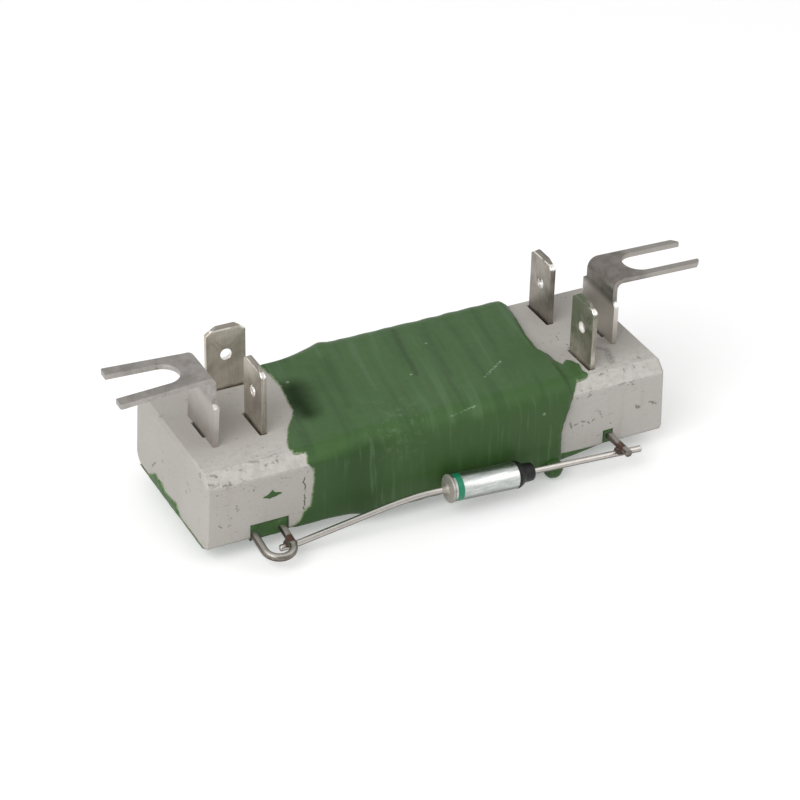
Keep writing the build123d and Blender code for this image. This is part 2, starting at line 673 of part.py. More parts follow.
export_step(fuse_bushing.part, "parts/fuse_bushing.step")
export_step(fuse_seal.part, "parts/fuse_seal.step")
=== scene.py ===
import math

import bpy
import numpy as np
from mathutils import Matrix, Vector, noise


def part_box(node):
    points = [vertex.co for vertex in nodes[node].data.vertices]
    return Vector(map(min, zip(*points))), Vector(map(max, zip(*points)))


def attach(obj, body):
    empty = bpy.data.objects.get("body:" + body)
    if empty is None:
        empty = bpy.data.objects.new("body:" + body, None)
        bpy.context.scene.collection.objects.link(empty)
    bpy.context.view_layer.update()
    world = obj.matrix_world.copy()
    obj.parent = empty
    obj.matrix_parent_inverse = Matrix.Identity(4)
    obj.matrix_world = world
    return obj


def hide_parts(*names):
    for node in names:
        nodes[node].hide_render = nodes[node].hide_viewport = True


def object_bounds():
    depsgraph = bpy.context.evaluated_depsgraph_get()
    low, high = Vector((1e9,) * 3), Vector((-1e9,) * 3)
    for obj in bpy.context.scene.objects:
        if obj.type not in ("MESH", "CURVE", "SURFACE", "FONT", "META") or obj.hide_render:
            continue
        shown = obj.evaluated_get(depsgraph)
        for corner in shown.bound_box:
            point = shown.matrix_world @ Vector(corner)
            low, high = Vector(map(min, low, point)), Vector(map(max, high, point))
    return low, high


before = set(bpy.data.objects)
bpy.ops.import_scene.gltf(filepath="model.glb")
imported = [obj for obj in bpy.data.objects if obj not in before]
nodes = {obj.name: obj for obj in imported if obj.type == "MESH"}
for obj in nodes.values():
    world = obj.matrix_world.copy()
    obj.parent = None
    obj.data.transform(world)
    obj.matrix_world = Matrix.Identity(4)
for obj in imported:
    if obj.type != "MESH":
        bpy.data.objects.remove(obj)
cad_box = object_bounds()
MM = 0.001

# Camera: the photograph's viewing angle, solved from the block's and the tabs' corners
CAMERA_PLACE = Vector((-158.42, -305.79, 228.88)) * MM
CAMERA_HEADING = math.radians(-27.306)
CAMERA_PITCH = math.radians(32.694)
CAMERA_ROLL = math.radians(1.314)
CAMERA_LENS = 123.31


def placed(name, data):
    """New object in the scene, with the data given."""
    made = bpy.data.objects.new(name, data)
    bpy.context.scene.collection.objects.link(made)
    return made


camera = placed("camera", bpy.data.cameras.new("camera"))
camera.data.sensor_width = 36
camera.data.lens = CAMERA_LENS
camera.data.clip_start = 0.01
turn = (Matrix.Rotation(CAMERA_HEADING, 4, "Z") @ Matrix.Rotation(math.pi / 2 - CAMERA_PITCH, 4, "X")
        @ Matrix.Rotation(CAMERA_ROLL, 4, "Z"))
camera.matrix_world = Matrix.Translation(CAMERA_PLACE) @ turn
bpy.context.scene.camera = camera

# Sizes below are in millimetres, in the frame's own axes
block_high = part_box("ceramic_core")[1] / MM
HALF_LENGTH = block_high.x
HALF_WIDTH = block_high.y
HEIGHT = block_high.z
CHAMFER = 1.75
FRONT_EDGE = 0.6
BACK_EDGE = 2.4

# Winding under the cement: the first turn's place on the front, the pitch, the sleeve's depths and how
# round its edges are: the two on top, the lower front one and the lower back one
FIRST_TURN = -11.9
PITCH = 3.7
WOUND_DEPTH = 1.0
RIDGE = 0.055
THIN_DEPTH = 0.24
SLEEVE_CORNER = 2.2
SLEEVE_FRONT_EDGE = 0.55
SLEEVE_BACK_EDGE = 1.85
# The sleeve's left ramp: its foot's place on the front, and how much further right that is on the back
RAMP_FOOT = -19.4
RAMP_LEAN = 3.2
# The first turn's extra height at the back, the hollow's depth and the right tongue's depth
FIRST_BULGE = 0.26
HOLLOW_DEPTH = 0.16
TONGUE_DEPTH = 0.34
EDGE_DEPTH = 0.03


class Nodes:
    """Short hand for building one material's node tree. base is its colour as painted so far."""

    def __init__(self, name):
        self.material = bpy.data.materials.new(name)
        self.material.use_nodes = True
        self.tree = self.material.node_tree
        self.shader = self.tree.nodes["Principled BSDF"]
        self.base = None
        # The place on the object, in millimetres
        self.place = self.vector("SCALE", self.add("TexCoord").outputs["Object"], Scale=1 / MM)

    def add(self, kind, settings=None, **inputs):
        made = self.tree.nodes.new("ShaderNode" + kind)
        for key, value in (settings or {}).items():
            setattr(made, key, value)
        for key, value in inputs.items():
            self.set(made, key.replace("_", " "), value)
        return made

    def set(self, made, key, value):
        socket = made.inputs[key]
        if isinstance(value, bpy.types.NodeSocket):
            self.tree.links.new(value, socket)
        else:
            socket.default_value = value

    def maths(self, operation, *values):
        made = self.add("Math", {"operation": operation})
        for i, value in enumerate(values):
            self.set(made, i, value)
        return made.outputs[0]

    def vector(self, operation, *values, **inputs):
        """Vector sum, which gives a number for a distance, a length or a dot product."""
        made = self.add("VectorMath", {"operation": operation}, **inputs)
        for i, value in enumerate(values):
            self.set(made, i, value)
        gives_number = operation in ("DISTANCE", "LENGTH", "DOT_PRODUCT")
        return made.outputs["Value" if gives_number else "Vector"]

    def chain(self, operation, values):
        total = values[0]
        for value in values[1:]:
            total = self.maths(operation, total, value)
        return total

    def product(self, *values):
        return self.chain("MULTIPLY", values)

    def sum(self, *values):
        return self.chain("ADD", values)

    def most(self, *values):
        return self.chain("MAXIMUM", values)

    def swing(self, value, scale):
        """A value that goes from 0 to 1, made to swing about 0 by half the scale."""
        return self.product(self.maths("SUBTRACT", value, 0.5), scale)

    def part(self, vector, name):
        return self.add("SeparateXYZ", Vector=vector).outputs[name]

    def axis(self, name):
        return self.part(self.place, name)

    def facing(self, name):
        """How far the surface faces along an axis: 1 straight along it and -1 straight against it."""
        return self.part(self.add("NewGeometry").outputs["Normal"], name)

    def shaken(self, scale, distance):
        """The place, moved about by noise."""
        shake = self.add("TexNoise", Scale=scale, Detail=3.0, Roughness=0.7, Vector=self.place)
        shake = self.vector("SUBTRACT", shake.outputs["Color"], (0.5, 0.5, 0.5))
        return self.vector("ADD", self.place, self.vector("SCALE", shake, Scale=distance))

    def run(self, place, start, along):
        """The way from the start to the place, and how far it goes along a direction."""
        offset = self.vector("SUBTRACT", place, start)
        return offset, self.vector("DOT_PRODUCT", offset, along)

    def stretched(self, x, y, z):
        """The place, times a factor on each axis."""
        return self.vector("MULTIPLY", self.place, (x, y, z))

    def noise(self, scale, detail=3.0, roughness=0.5, vector=None):
        return self.add("TexNoise", Scale=scale, Detail=detail, Roughness=roughness,
                        Vector=vector or self.place).outputs["Fac"]

    def step(self, value, low, high):
        """0 below low, 1 above high and a smooth rise between; falls where low is the larger."""
        made = self.add("MapRange", {"interpolation_type": "SMOOTHSTEP"}, Value=value)
        self.set(made, "From Min", min(low, high))
        self.set(made, "From Max", max(low, high))
        self.set(made, "To Min", 0.0 if low < high else 1.0)
        self.set(made, "To Max", 1.0 if low < high else 0.0)
        return made.outputs[0]

    def near(self, point, radius, softness=0.5):
        """1 within the radius of a point, fading to 0 at its edge."""
        return self.step(self.vector("DISTANCE", self.place, point), radius, radius * (1 - softness))

    def mix(self, share, first, second):
        """Colour between two, each a socket or the 0 to 255 values that a screen shows."""
        made = self.add("MixRGB")
        self.set(made, 0, share)
        for i, tint in ((1, first), (2, second)):
            self.set(made, i, tint if isinstance(tint, bpy.types.NodeSocket) else colour(tint))
        return made.outputs[0]

    def paint(self, tint, *shares):
        """Lays a colour over the base, by the product of the shares."""
        self.base = self.mix(self.product(*shares), self.base, tint)

    def bump(self, height, distance, strength=1.0):
        return self.add("Bump", Height=height, Distance=distance * MM, Strength=strength).outputs[0]

    def finish(self, **inputs):
        self.set(self.shader, "Base Color", self.base)
        for key, value in inputs.items():
            self.set(self.shader, key.replace("_", " "), value)
        return self.material


def colour(screen):
    """Linear colour from the 0 to 255 values that a screen shows."""
    values = [v / 255 for v in screen]
    return tuple(v / 12.92 if v <= 0.04045 else ((v + 0.055) / 1.055) ** 2.4 for v in values) + (1.0,)


def make_ceramic():
    """Pale unglazed ceramic, dusty, with dark scuffs along its edges."""
    n = Nodes("ceramic")
    x, y, z = (n.axis(name) for name in "XYZ")
    n.base = n.mix(n.noise(0.12, 4), (173, 169, 163), (189, 186, 181))
    n.paint((156, 151, 145), n.noise(1.7, 5, 0.65), 0.30)
    front = n.step(y, -HALF_WIDTH + 0.6, -HALF_WIDTH + 0.3)
    # Painted light: the front face is painted paler towards its right end
    n.paint((206, 203, 198), front, n.step(x, 10.0, 30.0), 0.22)
    drip = n.noise(0.5, 3, 0.5, n.stretched(1.6, 1.6, 0.25))
    n.paint((172, 165, 152), front, n.step(drip, 0.5, 0.75), 0.3)
    grain = n.noise(9, 2, 0.6)
    n.paint((122, 116, 108), n.step(grain, 0.54, 0.72), 0.2)
    # Scuffs: just behind the chamfer's upper edge, just below its lower edge and a few elsewhere
    upper = n.product(n.step(y, -8.6, -11.2), n.step(z, HEIGHT - 0.5, HEIGHT - 0.2))
    lower = n.product(front, n.step(z, 7.9, 10.2))
    band = n.product(n.most(upper, lower), n.step(n.noise(0.30, 2), 0.44, 0.58))
    cell = n.noise(2.4, 4, 0.72, n.stretched(0.7, 1.25, 1.25))
    marks = n.step(n.sum(cell, n.product(band, 0.085)), 0.665, 0.705)
    n.paint((98, 93, 87), marks, 0.8)
    dots = n.add("TexVoronoi", Vector=n.place, Scale=0.42)
    gate = n.step(n.add("SeparateColor", Color=dots.outputs["Color"]).outputs[0], 0.62, 0.66)
    dot = n.product(n.step(dots.outputs["Distance"], 0.075, 0.04), gate)
    n.paint((92, 88, 84), dot, 0.6)
    shaken = n.shaken(1.5, 1.1)
    strokes = n.most(*[stroke(n, shaken, start, end, MARK_SPREAD * width)
                       for start, end, width in CERAMIC_MARKS])
    strokes = n.step(n.sum(strokes, n.product(n.noise(3.6, 4, 0.7), -0.9)), -0.15, 0.35)
    n.paint((88, 82, 76), strokes, 0.62)
    line = n.noise(1.4, 3, 0.75, n.stretched(0.22, 0.5, 1.9))
    lines = n.product(n.step(line, 0.62, 0.66), n.step(n.noise(0.9, 2), 0.5, 0.58))
    n.paint((118, 112, 105), lines, 0.45)
    # Painted light: the front chamfer and the top beside it are painted paler in patches, where they
    # catch the most light
    slope = n.step(n.sum(n.product(y, -1.0), z), 22.9, 23.45)
    near_edge = n.product(n.step(y, -5.0, -10.5), n.step(z, HEIGHT - 0.4, HEIGHT - 0.1), 0.9)
    slope = n.product(n.most(slope, near_edge), n.step(n.noise(0.9, 4, 0.65), 0.30, 0.62), 0.5)
    n.paint((206, 203, 198), slope)
    n.paint((116, 107, 96), n.step(z, 0.8, 0.0), n.noise(0.8, 3), 0.4)
    # Crack beside the cement's front edge on the left
    wander = n.swing(n.noise(1.1, 2, 0.5, n.stretched(0.0, 0.0, 1.0)), 1.6)
    off = n.maths("ABSOLUTE", n.sum(n.maths("SUBTRACT", x, -22.3), wander))
    span = n.product(front, n.step(z, 2.6, 3.0), n.step(z, 8.6, 8.2))
    crack = n.product(span, n.step(off, 0.16, 0.05), n.step(n.noise(2.2, 2), 0.40, 0.46))
    n.paint((80, 76, 62), crack, 0.9)
    # A bluish grey patch painted on the top below the right fork
    smear = n.most(stroke(n, shaken, (30.1, -5.2, HEIGHT), (31.1, -6.3, HEIGHT), 0.8),
                   stroke(n, shaken, (31.1, -6.3, HEIGHT), (30.1, -9.7, HEIGHT), 1.0))
    n.paint((100, 99, 101), smear, n.step(n.noise(1.9, 4), 0.36, 0.5), 0.55)
    rough = n.sum(n.product(n.noise(1.2, 3), 0.2), 0.58)
    height = n.maths("SUBTRACT", n.product(grain, 0.6), n.most(marks, crack, dot, strokes))
    bump = n.bump(n.sum(height, n.noise(1.3, 5, 0.6)), 0.09, 0.5)
    return n.finish(Roughness=rough, Normal=bump, Specular_IOR_Level=0.25)


def make_cement():
    """Green silicone cement: a soft sheen, faint runs down the front and a pale torn rim."""
    n = Nodes("cement")
    x, y, z = (n.axis(name) for name in "XYZ")
    n.base = n.mix(n.noise(0.16, 4), (54, 85, 41), (64, 97, 51))
    n.paint((84, 112, 76), n.step(n.noise(1.9, 5, 0.7), 0.55, 0.75), 0.15)
    # Painted shade: the front is painted darker, more so at the left, with faint paler runs
    front = n.step(y, -12.5, -13.9)
    n.paint(n.mix(n.step(x, -7.0, -14.5), (50, 79, 35), (31, 59, 17)), front, 0.85)
    runs = n.noise(0.75, 4, 0.6, n.stretched(1.5, 0.2, 0.12))
    n.paint((82, 110, 74), front, n.step(runs, 0.52, 0.70), 0.45)
    # Painted shade and painted highlight in broad soft bands on top that follow the turns, and painted
    # shade along creases
    along = n.sum(x, n.product(y, -0.163))
    drawn = n.add("CombineXYZ", X=along, Y=n.product(y, 0.07), Z=0.0).outputs[0]
    turn_shading = n.noise(0.42, 3, 0.6, drawn)
    over = n.step(z, HEIGHT - 1.5, HEIGHT - 0.2)
    n.paint((44, 72, 36), over, n.step(turn_shading, 0.50, 0.34), 0.5)
    n.paint((84, 112, 78), over, n.step(turn_shading, 0.54, 0.68), 0.4)
    shaken = n.shaken(0.7, 0.9)
    for start, end, width, share in CREASE_SHADES:
        n.paint((30, 54, 22), stroke(n, shaken, start, end, width), share)
    # Painted shadow of the left side tab, cast on the hollow beside the torn edge on top
    shade = n.most(stroke(n, shaken, (-16.9, 3.0, 12.8), (-17.7, -1.0, 12.7), 4.4),
                   stroke(n, shaken, (-17.6, -0.5, 12.7), (-17.4, -3.2, 12.7), 3.4))
    n.paint((22, 40, 13), shade, 0.95)
    # Torn rim: the sheet's own distance from its edge, in millimetres
    rim = n.add("Attribute", {"attribute_name": "from_edge"}).outputs["Fac"]
    ragged = n.sum(rim, n.product(n.noise(1.6, 4, 0.6), -0.55))
    n.paint((142, 152, 124), n.step(ragged, -0.10, -0.26), 0.7)
    # Pale nicks and scratches, and scuffs where the top meets the front
    marks = [n.near(point, radius) for point, radius in NICKS]
    marks += [scratch(n, start, end, width) for start, end, width in SCRATCHES]
    scuff = n.product(n.near((-7.0, -11.0, HEIGHT + 0.6), 8.5, 0.8),
                      n.step(n.noise(1.1, 5, 0.68), 0.50, 0.68), 0.26)
    n.paint((140, 158, 130), n.most(*marks, scuff), 0.62)
    n.paint((120, 140, 108), n.step(z, HEIGHT - 1, HEIGHT + 0.9),
            n.step(n.noise(3.4, 4, 0.8), 0.60, 0.70), 0.2)
    rough = n.sum(n.product(n.noise(0.9, 4), 0.24), 0.34)
    height = n.sum(n.noise(0.55, 3, 0.5), n.product(n.noise(3.5, 2), 0.12))
    bump = n.bump(height, 0.14, 0.45)
    # Less gloss where the painted shadow lies
    gloss = n.maths("SUBTRACT", 0.3, n.product(shade, 0.24))
    return n.finish(Roughness=rough, Normal=bump, Specular_IOR_Level=gloss)


def scratch(n, start, end, width):
    """A broken pale line on the surface from one point to another."""
    start, end = Vector(start), Vector(end)
    length = (end - start).length
    along = (end - start).normalized()
    offset, ahead = n.run(n.place, start, along)
    away = n.vector("LENGTH", n.vector("CROSS_PRODUCT", offset, along))
    inside = n.product(n.step(ahead, -0.05, 0.1), n.step(ahead, length, length - 0.3))
    ragged = n.sum(away, n.product(n.noise(2.0, 3), -width))
    return n.product(inside, n.step(ragged, width * 0.6, 0.0), n.step(n.noise(1.9, 3), 0.44, 0.52))


def stroke(n, place, start, end, width):
    """A soft mark along the line from one point to another, as wide as given."""
    start, end = Vector(start), Vector(end)
    along = (end - start).normalized()
    offset, ahead = n.run(place, start, along)
    ahead = n.maths("MINIMUM", n.maths("MAXIMUM", ahead, 0.0), (end - start).length)
    foot = n.vector("SCALE", along, Scale=ahead)
    return n.step(n.vector("DISTANCE", offset, foot), width, 0.0)


# Marks on the cement: place and radius, then start, end and width
NICKS = (((-16.6, 5.2, 12.6), 0.42), ((0.35, -1.6, 13.2), 0.3), ((6.4, 5.3, 13.2), 0.28),
         ((16.2, -13.9, 9.2), 0.4))
SCRATCHES = (((9.9, -6.9, 13.1), (14.4, -3.7, 13.1), 0.24),
             ((1.0, -12.9, 12.2), (6.0, -12.4, 12.6), 0.22),
             ((-6.5, -12.9, 12.0), (-2.5, -12.6, 12.4), 0.2))
# Painted shade along creases on top: start, end, width and share of dark
CREASE_SHADES = (((3.5, 11.0, 13.1), (1.1, -1.9, 13.1), 0.75, 0.6),
           ((7.9, 9.5, 13.1), (5.6, -4.0, 13.1), 0.9, 0.3),
           ((12.4, 8.2, 13.1), (10.3, -6.0, 13.1), 1.1, 0.22),
           ((-9.6, 7.5, 13.2), (-11.8, -5.5, 13.1), 1.4, 0.3))

# Dark scuffs on the ceramic: start, end and width, and how much wider the soft mark spreads
MARK_SPREAD = 1.35
CERAMIC_MARKS = (
    ((-29.9, -11.4, 12.1), (-28.6, -11.6, 11.9), 0.22),
    ((-27.7, -11.3, 12.1), (-25.8, -10.9, 12.1), 0.2),
    ((-28.0, -12.1, 11.4), (-26.7, -12.0, 11.5), 0.22),
    ((-25.7, -11.2, 12.1), (-26.1, -12.0, 11.5), 0.18),
    ((-31.9, -11.9, 11.6), (-31.6, -11.9, 11.6), 0.3), ((-26.9, -8.7, 12.1), (-26.8, -8.8, 12.1), 0.25),
    ((-36.1, -11.7, 11.8), (-35.3, -12.0, 11.5), 0.28),
    ((-36.8, -12.6, 10.9), (-36.0, -12.9, 10.6), 0.3),
    ((-36.0, -12.9, 10.6), (-35.2, -12.6, 10.9), 0.25),
    ((-34.9, -13.1, 10.4), (-33.6, -13.1, 10.4), 0.28),
    ((-33.6, -13.1, 10.4), (-33.8, -12.8, 10.7), 0.25),
    ((-37.4, -8.9, 12.1), (-37.4, -11.4, 12.1), 0.28),
    ((-37.4, -11.4, 12.1), (-37.4, -13.0, 10.5), 0.2),
    ((-37.4, -10.5, 11.8), (-37.5, -11.0, 11.2), 0.25), ((-37.7, 5.4, 4.2), (-37.8, 6.6, 2.6), 0.22),
    ((-37.6, 2.8, 6.1), (-37.6, 2.6, 5.7), 0.2), ((-37.6, -5.8, 6.1), (-37.6, -6.1, 6.0), 0.25),
    ((-35.7, -13.1, 3.7), (-35.3, -13.1, 3.6), 0.2), ((-34.3, -13.1, 3.3), (-33.9, -13.1, 3.5), 0.22),
    ((-32.9, -13.1, 6.7), (-32.8, -13.1, 5.5), 0.15), ((-30.2, -13.1, 8.6), (-30.2, -13.1, 8.1), 0.17),
    ((26.2, 0.6, 12.1), (25.9, -0.8, 12.1), 0.2), ((26.5, -2.4, 12.1), (26.1, -3.6, 12.1), 0.18),
    ((34.4, -10.1, 12.1), (34.5, -10.4, 12.1), 0.4), ((34.2, -11.9, 11.6), (34.3, -12.1, 11.4), 0.2),
    ((32.8, -11.6, 11.9), (32.8, -11.8, 11.7), 0.2), ((31.0, -11.7, 11.8), (31.0, -12.0, 11.5), 0.22),
    ((28.2, -11.4, 12.1), (28.3, -11.5, 12.0), 0.22), ((26.8, -11.7, 11.8), (27.5, -11.6, 11.9), 0.2),
    ((24.5, -13.1, 10.1), (24.7, -13.1, 9.7), 0.2), ((29.5, -13.1, 10.2), (30.6, -13.1, 10.3), 0.3),
    ((31.5, -13.1, 10.2), (32.1, -13.1, 9.6), 0.22), ((32.9, -13.1, 5.4), (33.1, -13.1, 5.2), 0.36),
    ((35.3, -13.1, 5.7), (36.2, -13.1, 5.1), 0.25), ((26.4, -13.1, 6.4), (27.0, -13.1, 5.2), 0.17),
    ((21.3, -13.1, 5.5), (21.6, -13.1, 4.7), 0.25), ((22.1, -13.1, 5.1), (22.7, -13.1, 5.1), 0.24),
    ((23.4, -13.1, 5.2), (24.0, -13.1, 5.2), 0.22), ((24.5, -13.1, 4.8), (24.7, -13.1, 4.7), 0.24),
    ((25.2, -13.1, 5.0), (25.5, -13.1, 5.1), 0.24))


def make_plate(name, base_colour, pale, dark, smear=False, painted_highlights=(), riser=0.0, front_edge_shade=False):
    """Dull nickel plated sheet: drawn lines, cloudy patches, a few pits and painted highlights at the
    spots given.

    riser is for the forks and says how much painted light their upright part gets. Without it the tip
    gets a painted bevel: painted shade with a painted highlight line below it.
    smear wipes cement over the sheet, and the last flag paints shade on its narrow side that faces the
    front.
    """
    n = Nodes(name)
    x, y, z = (n.axis(name) for name in "XYZ")
    cloud = n.noise(0.45, 5, 0.6)
    n.base = n.mix(n.step(cloud, 0.30, 0.66), dark, base_colour)
    if riser:
        # Painted light: the upright part is painted lighter by the share given; the right prongs are
        # lighter than the plates between them
        n.paint((206, 201, 194), n.step(z, 19.6, 18.2), riser)
        n.paint((176, 171, 165), n.step(x, 37.0, 40.0), 0.5)
    if front_edge_shade:
        # Painted shade on the narrow side that faces the front
        ahead = n.product(n.step(n.facing("Y"), -0.6, -0.9), n.step(y, 6.5, 5.5))
        n.paint((100, 95, 86), ahead, 0.6)
    drawn = n.noise(3.0, 3, 0.6, n.stretched(1.6, 1.6, 0.12))
    n.paint(pale, n.step(drawn, 0.45, 0.75), 0.3)
    grain = n.noise(5.5, 4, 0.7)
    n.paint(pale, n.step(grain, 0.55, 0.72), 0.3)
    n.paint(dark, n.step(grain, 0.44, 0.28), 0.35)
    if riser:
        # The cut edges of the prongs get a faint painted highlight
        lying = n.maths("ABSOLUTE", n.facing("Z"))
        n.paint((226, 223, 217), n.step(z, 19.9, 20.2), n.step(lying, 0.6, 0.3), 0.1)
    else:
        # Painted bevel on the tip: painted shade over its top, with a painted highlight line below it
        n.paint((112, 106, 98), n.step(z, 22.15, 22.3), 0.6)
        line = n.product(n.step(z, 22.0, 22.1), n.step(z, 22.3, 22.2))
        n.paint((246, 243, 238), line, n.step(n.noise(0.8, 3), 0.4, 0.5), 0.7)
    pits = n.step(n.noise(7.0, 2, 0.5), 0.70, 0.76)
    n.paint((92, 84, 74), pits, 0.5)
    metallic = 1.0
    rough = n.sum(n.product(cloud, 0.22), 0.30)
    if smear:
        # Cement wiped over the upper and back part of this tab
        upward = n.step(z, 14.0, 22.0)
        backward = n.step(y, -9.6, -4.6)
        film = n.sum(n.product(upward, 0.55), n.product(backward, 0.75), n.swing(n.noise(0.7, 4), 1.3))
        film = n.product(n.step(film, 0.35, 0.95), 0.85)
        n.paint((222, 217, 204), n.step(z, 15.8, 13.8), 0.4)
        n.paint((78, 90, 62), film)
        metallic = n.maths("SUBTRACT", 1.0, n.product(film, 0.8))
        rough = n.sum(rough, n.product(film, 0.15))
    if painted_highlights:
        # Painted highlights at the shoulders and round the holes
        bright = n.most(*[n.near(point, radius, softness) for point, radius, softness in painted_highlights])
        n.paint((244, 241, 236), bright, 0.9)
        rough = n.maths("SUBTRACT", rough, n.product(bright, 0.2))
    height = n.sum(n.product(grain, 0.7), n.product(drawn, 0.5))
    bump = n.bump(n.maths("SUBTRACT", height, pits), 0.03, 0.5)
    return n.finish(Roughness=rough, Metallic=metallic, Normal=bump)


def make_wire(name, base_colour, pale, dark, roughness, stains, mottle=0.45):
    """Tinned or bare wire: draw marks, painted shade on the lower side, a painted highlight on top and
    rust round the places given.
    """
    n = Nodes(name)
    cloud = n.noise(0.9, 4, 0.65)
    n.base = n.mix(n.product(n.step(cloud, 0.66, 0.35), 2 * mottle), base_colour, dark)
    fine = n.noise(4.0, 4, 0.65)
    n.paint(pale, n.step(fine, 0.5, 0.7), mottle)
    # Tarnish stays on the lower side, where nothing rubs it off
    # Painted shade on the lower side and a painted highlight along the top
    up = n.facing("Z")
    n.paint((70, 63, 56), n.step(up, 0.1, -0.35), 0.75)
    n.paint((240, 237, 232), n.step(up, 0.62, 0.9), 0.5)
    rust = n.most(*[n.near(point, radius, 0.8) for point, radius in stains])
    rust = n.step(n.sum(rust, n.swing(n.noise(1.8, 4), 1.5)), 0.42, 0.66)
    n.paint(n.mix(n.noise(2.4, 4), (46, 32, 27), (92, 64, 50)), rust)
    metallic = n.maths("SUBTRACT", 1.0, n.product(rust, 0.85))
    rough = n.sum(n.product(fine, 0.25), roughness, n.product(rust, 0.35))
    bump = n.bump(n.sum(fine, cloud), 0.05, 0.6 * mottle)
    return n.finish(Roughness=rough, Metallic=metallic, Normal=bump)


def make_case(start, along):
    """Bright fuse can with a painted green band near its left end, painted shade underneath, a greenish
    painted reflection along the top and a painted highlight band on its upper side.
    """
    n = Nodes("case")
    ahead = n.run(n.place, start, along)[1]
    cloud = n.noise(0.8, 4, 0.6)
    n.base = n.mix(cloud, (172, 176, 173), (200, 204, 201))
    wear = n.noise(2.4, 5, 0.7, n.stretched(0.12, 1.0, 1.0))
    n.paint((118, 124, 120), n.step(wear, 0.52, 0.64), 0.5)
    n.paint((232, 236, 233), n.step(wear, 0.46, 0.36), 0.5)
    # Painted light by how the surface faces: painted shade underneath, a greenish painted reflection
    # along the very top and a painted highlight band on the upper side
    up = n.facing("Z")
    n.paint((84, 84, 78), n.step(up, -0.05, -0.55), 0.7)
    n.paint((104, 112, 106), n.step(up, 0.93, 1.0), 0.4)
    n.paint((240, 242, 240), n.step(up, 0.25, 0.5), n.step(up, 0.85, 0.6), 0.6)
    end = n.step(ahead, 0.5, 0.3)
    n.paint((146, 136, 124), end, 0.7)
    n.paint((84, 76, 68), n.step(ahead, 0.36, 0.42), n.step(ahead, 0.56, 0.48), 0.7)
    ragged = n.sum(ahead, n.swing(n.noise(3.0, 3), 0.10))
    left, right = BAND
    band = n.product(n.step(ragged, left - 0.04, left + 0.04),
                     n.step(ragged, right + 0.04, right - 0.04),
                     n.step(n.noise(5.0, 3, 0.7), 0.22, 0.34))
    n.paint((10, 122, 88), band)
    metallic = n.maths("SUBTRACT", 1.0, n.product(n.most(band, n.product(end, 0.6)), 0.9))
    rough = n.sum(n.product(wear, 0.25), 0.16, n.product(end, 0.2))
    bump = n.bump(n.sum(wear, cloud), 0.05, 0.5)
    return n.finish(Roughness=rough, Metallic=metallic, Normal=bump)


def make_seal():
    """Black epoxy with a dusty, slightly wavy skin."""
    n = Nodes("seal")
    cloud = n.noise(1.2, 4)
    n.base = n.mix(cloud, (10, 9, 9), (24, 21, 21))
    n.paint((84, 80, 76), n.step(n.noise(4.0, 4, 0.7), 0.6, 0.72), 0.3)
    rough = n.sum(n.product(cloud, 0.3), 0.3)
    bump = n.bump(n.noise(2.2, 4), 0.12, 0.6)
    return n.finish(Roughness=rough, Normal=bump, Specular_IOR_Level=0.3)


def make_inner(name, first, second, metallic):
    """Plain finish for what is sealed inside the fuse."""
    n = Nodes(name)
    n.base = n.mix(n.noise(2.0, 4), first, second)
    return n.finish(Roughness=0.45, Metallic=metallic, Normal=n.bump(n.noise(6.0, 3), 0.03, 0.5))


# Tap wires: their height in the notches, the loop's two legs, the pin, and the loop's bend to the front
TAP_LEVEL = 1.49
LOOP_LEFT = -30.2
LOOP_RIGHT = -25.8
PIN_X = 28.3
BEND_START = -8.0
LOOP_FRONT = -18.7
LOOP_FRONT_HEIGHT = -0.15
TAP_RADIUS = 0.6
LEAD_RADIUS = 0.5
# Fuse line: the case's left rim, and the crossing under the right tap wire
FUSE_START = Vector((-1.05, -16.72, 2.48))
CROSSING = Vector((PIN_X, -16.72, 0.58))
ALONG = (CROSSING - FUSE_START).normalized()
# The green band's two edges, from the case's left rim
BAND = (0.78, 1.82)
LOOP_WELD = Vector((LOOP_RIGHT, -15.65, 0.35))
PIN_WELD = Vector((PIN_X, -16.72, 1.1))
# Height of the case lead where it passes under the loop's right leg, with their middles this far apart
CROSSED_WIRES = 1.13
FALL = (LOOP_FRONT_HEIGHT - TAP_LEVEL) / (LOOP_FRONT - BEND_START)
LEFT_CROSSING = TAP_LEVEL + FALL * (LOOP_WELD.y - BEND_START) - CROSSED_WIRES

ceramic = make_ceramic()
cement = make_cement()
# Painted highlights on the sheets: place, and then radius and softness
SHOULDER = (0.62, 0.5)
HOLE = (1.0, 0.1)
LEFT_HIGHLIGHTS = (((-25.24, -5.3, 21.8), *SHOULDER), ((-22.4, 8.5, 21.9), *SHOULDER),
              ((-25.24, -2.54, 17.9), *HOLE), ((-25.13, 8.47, 17.9), *HOLE))
RIGHT_HIGHLIGHTS = (((27.1, 4.2, 21.8), *SHOULDER), ((26.3, -9.9, 21.8), *SHOULDER),
               ((27.13, 7.0, 17.9), *HOLE), ((26.35, -7.13, 17.9), *HOLE))
blade = make_plate("plate_blade", (208, 201, 190), (228, 223, 214), (184, 176, 163),
                   painted_highlights=LEFT_HIGHLIGHTS, front_edge_shade=True)
back_blade = make_plate("plate_back_blade", (162, 156, 148), (190, 184, 176), (132, 126, 116),
                        painted_highlights=RIGHT_HIGHLIGHTS)
smeared = make_plate("plate_smeared", (182, 177, 164), (208, 203, 192), (148, 142, 128),
                     smear=True, painted_highlights=RIGHT_HIGHLIGHTS, front_edge_shade=True)
left_plate = make_plate("plate_left", (164, 159, 155), (194, 190, 185), (138, 133, 128),
                        painted_highlights=(((-32.9, -5.7, 18.9), *SHOULDER),), riser=0.6)
right_plate = make_plate("plate_right", (136, 131, 125), (172, 167, 161), (112, 106, 100),
                         painted_highlights=(((33.0, -5.2, 18.9), *SHOULDER),), riser=1.0)
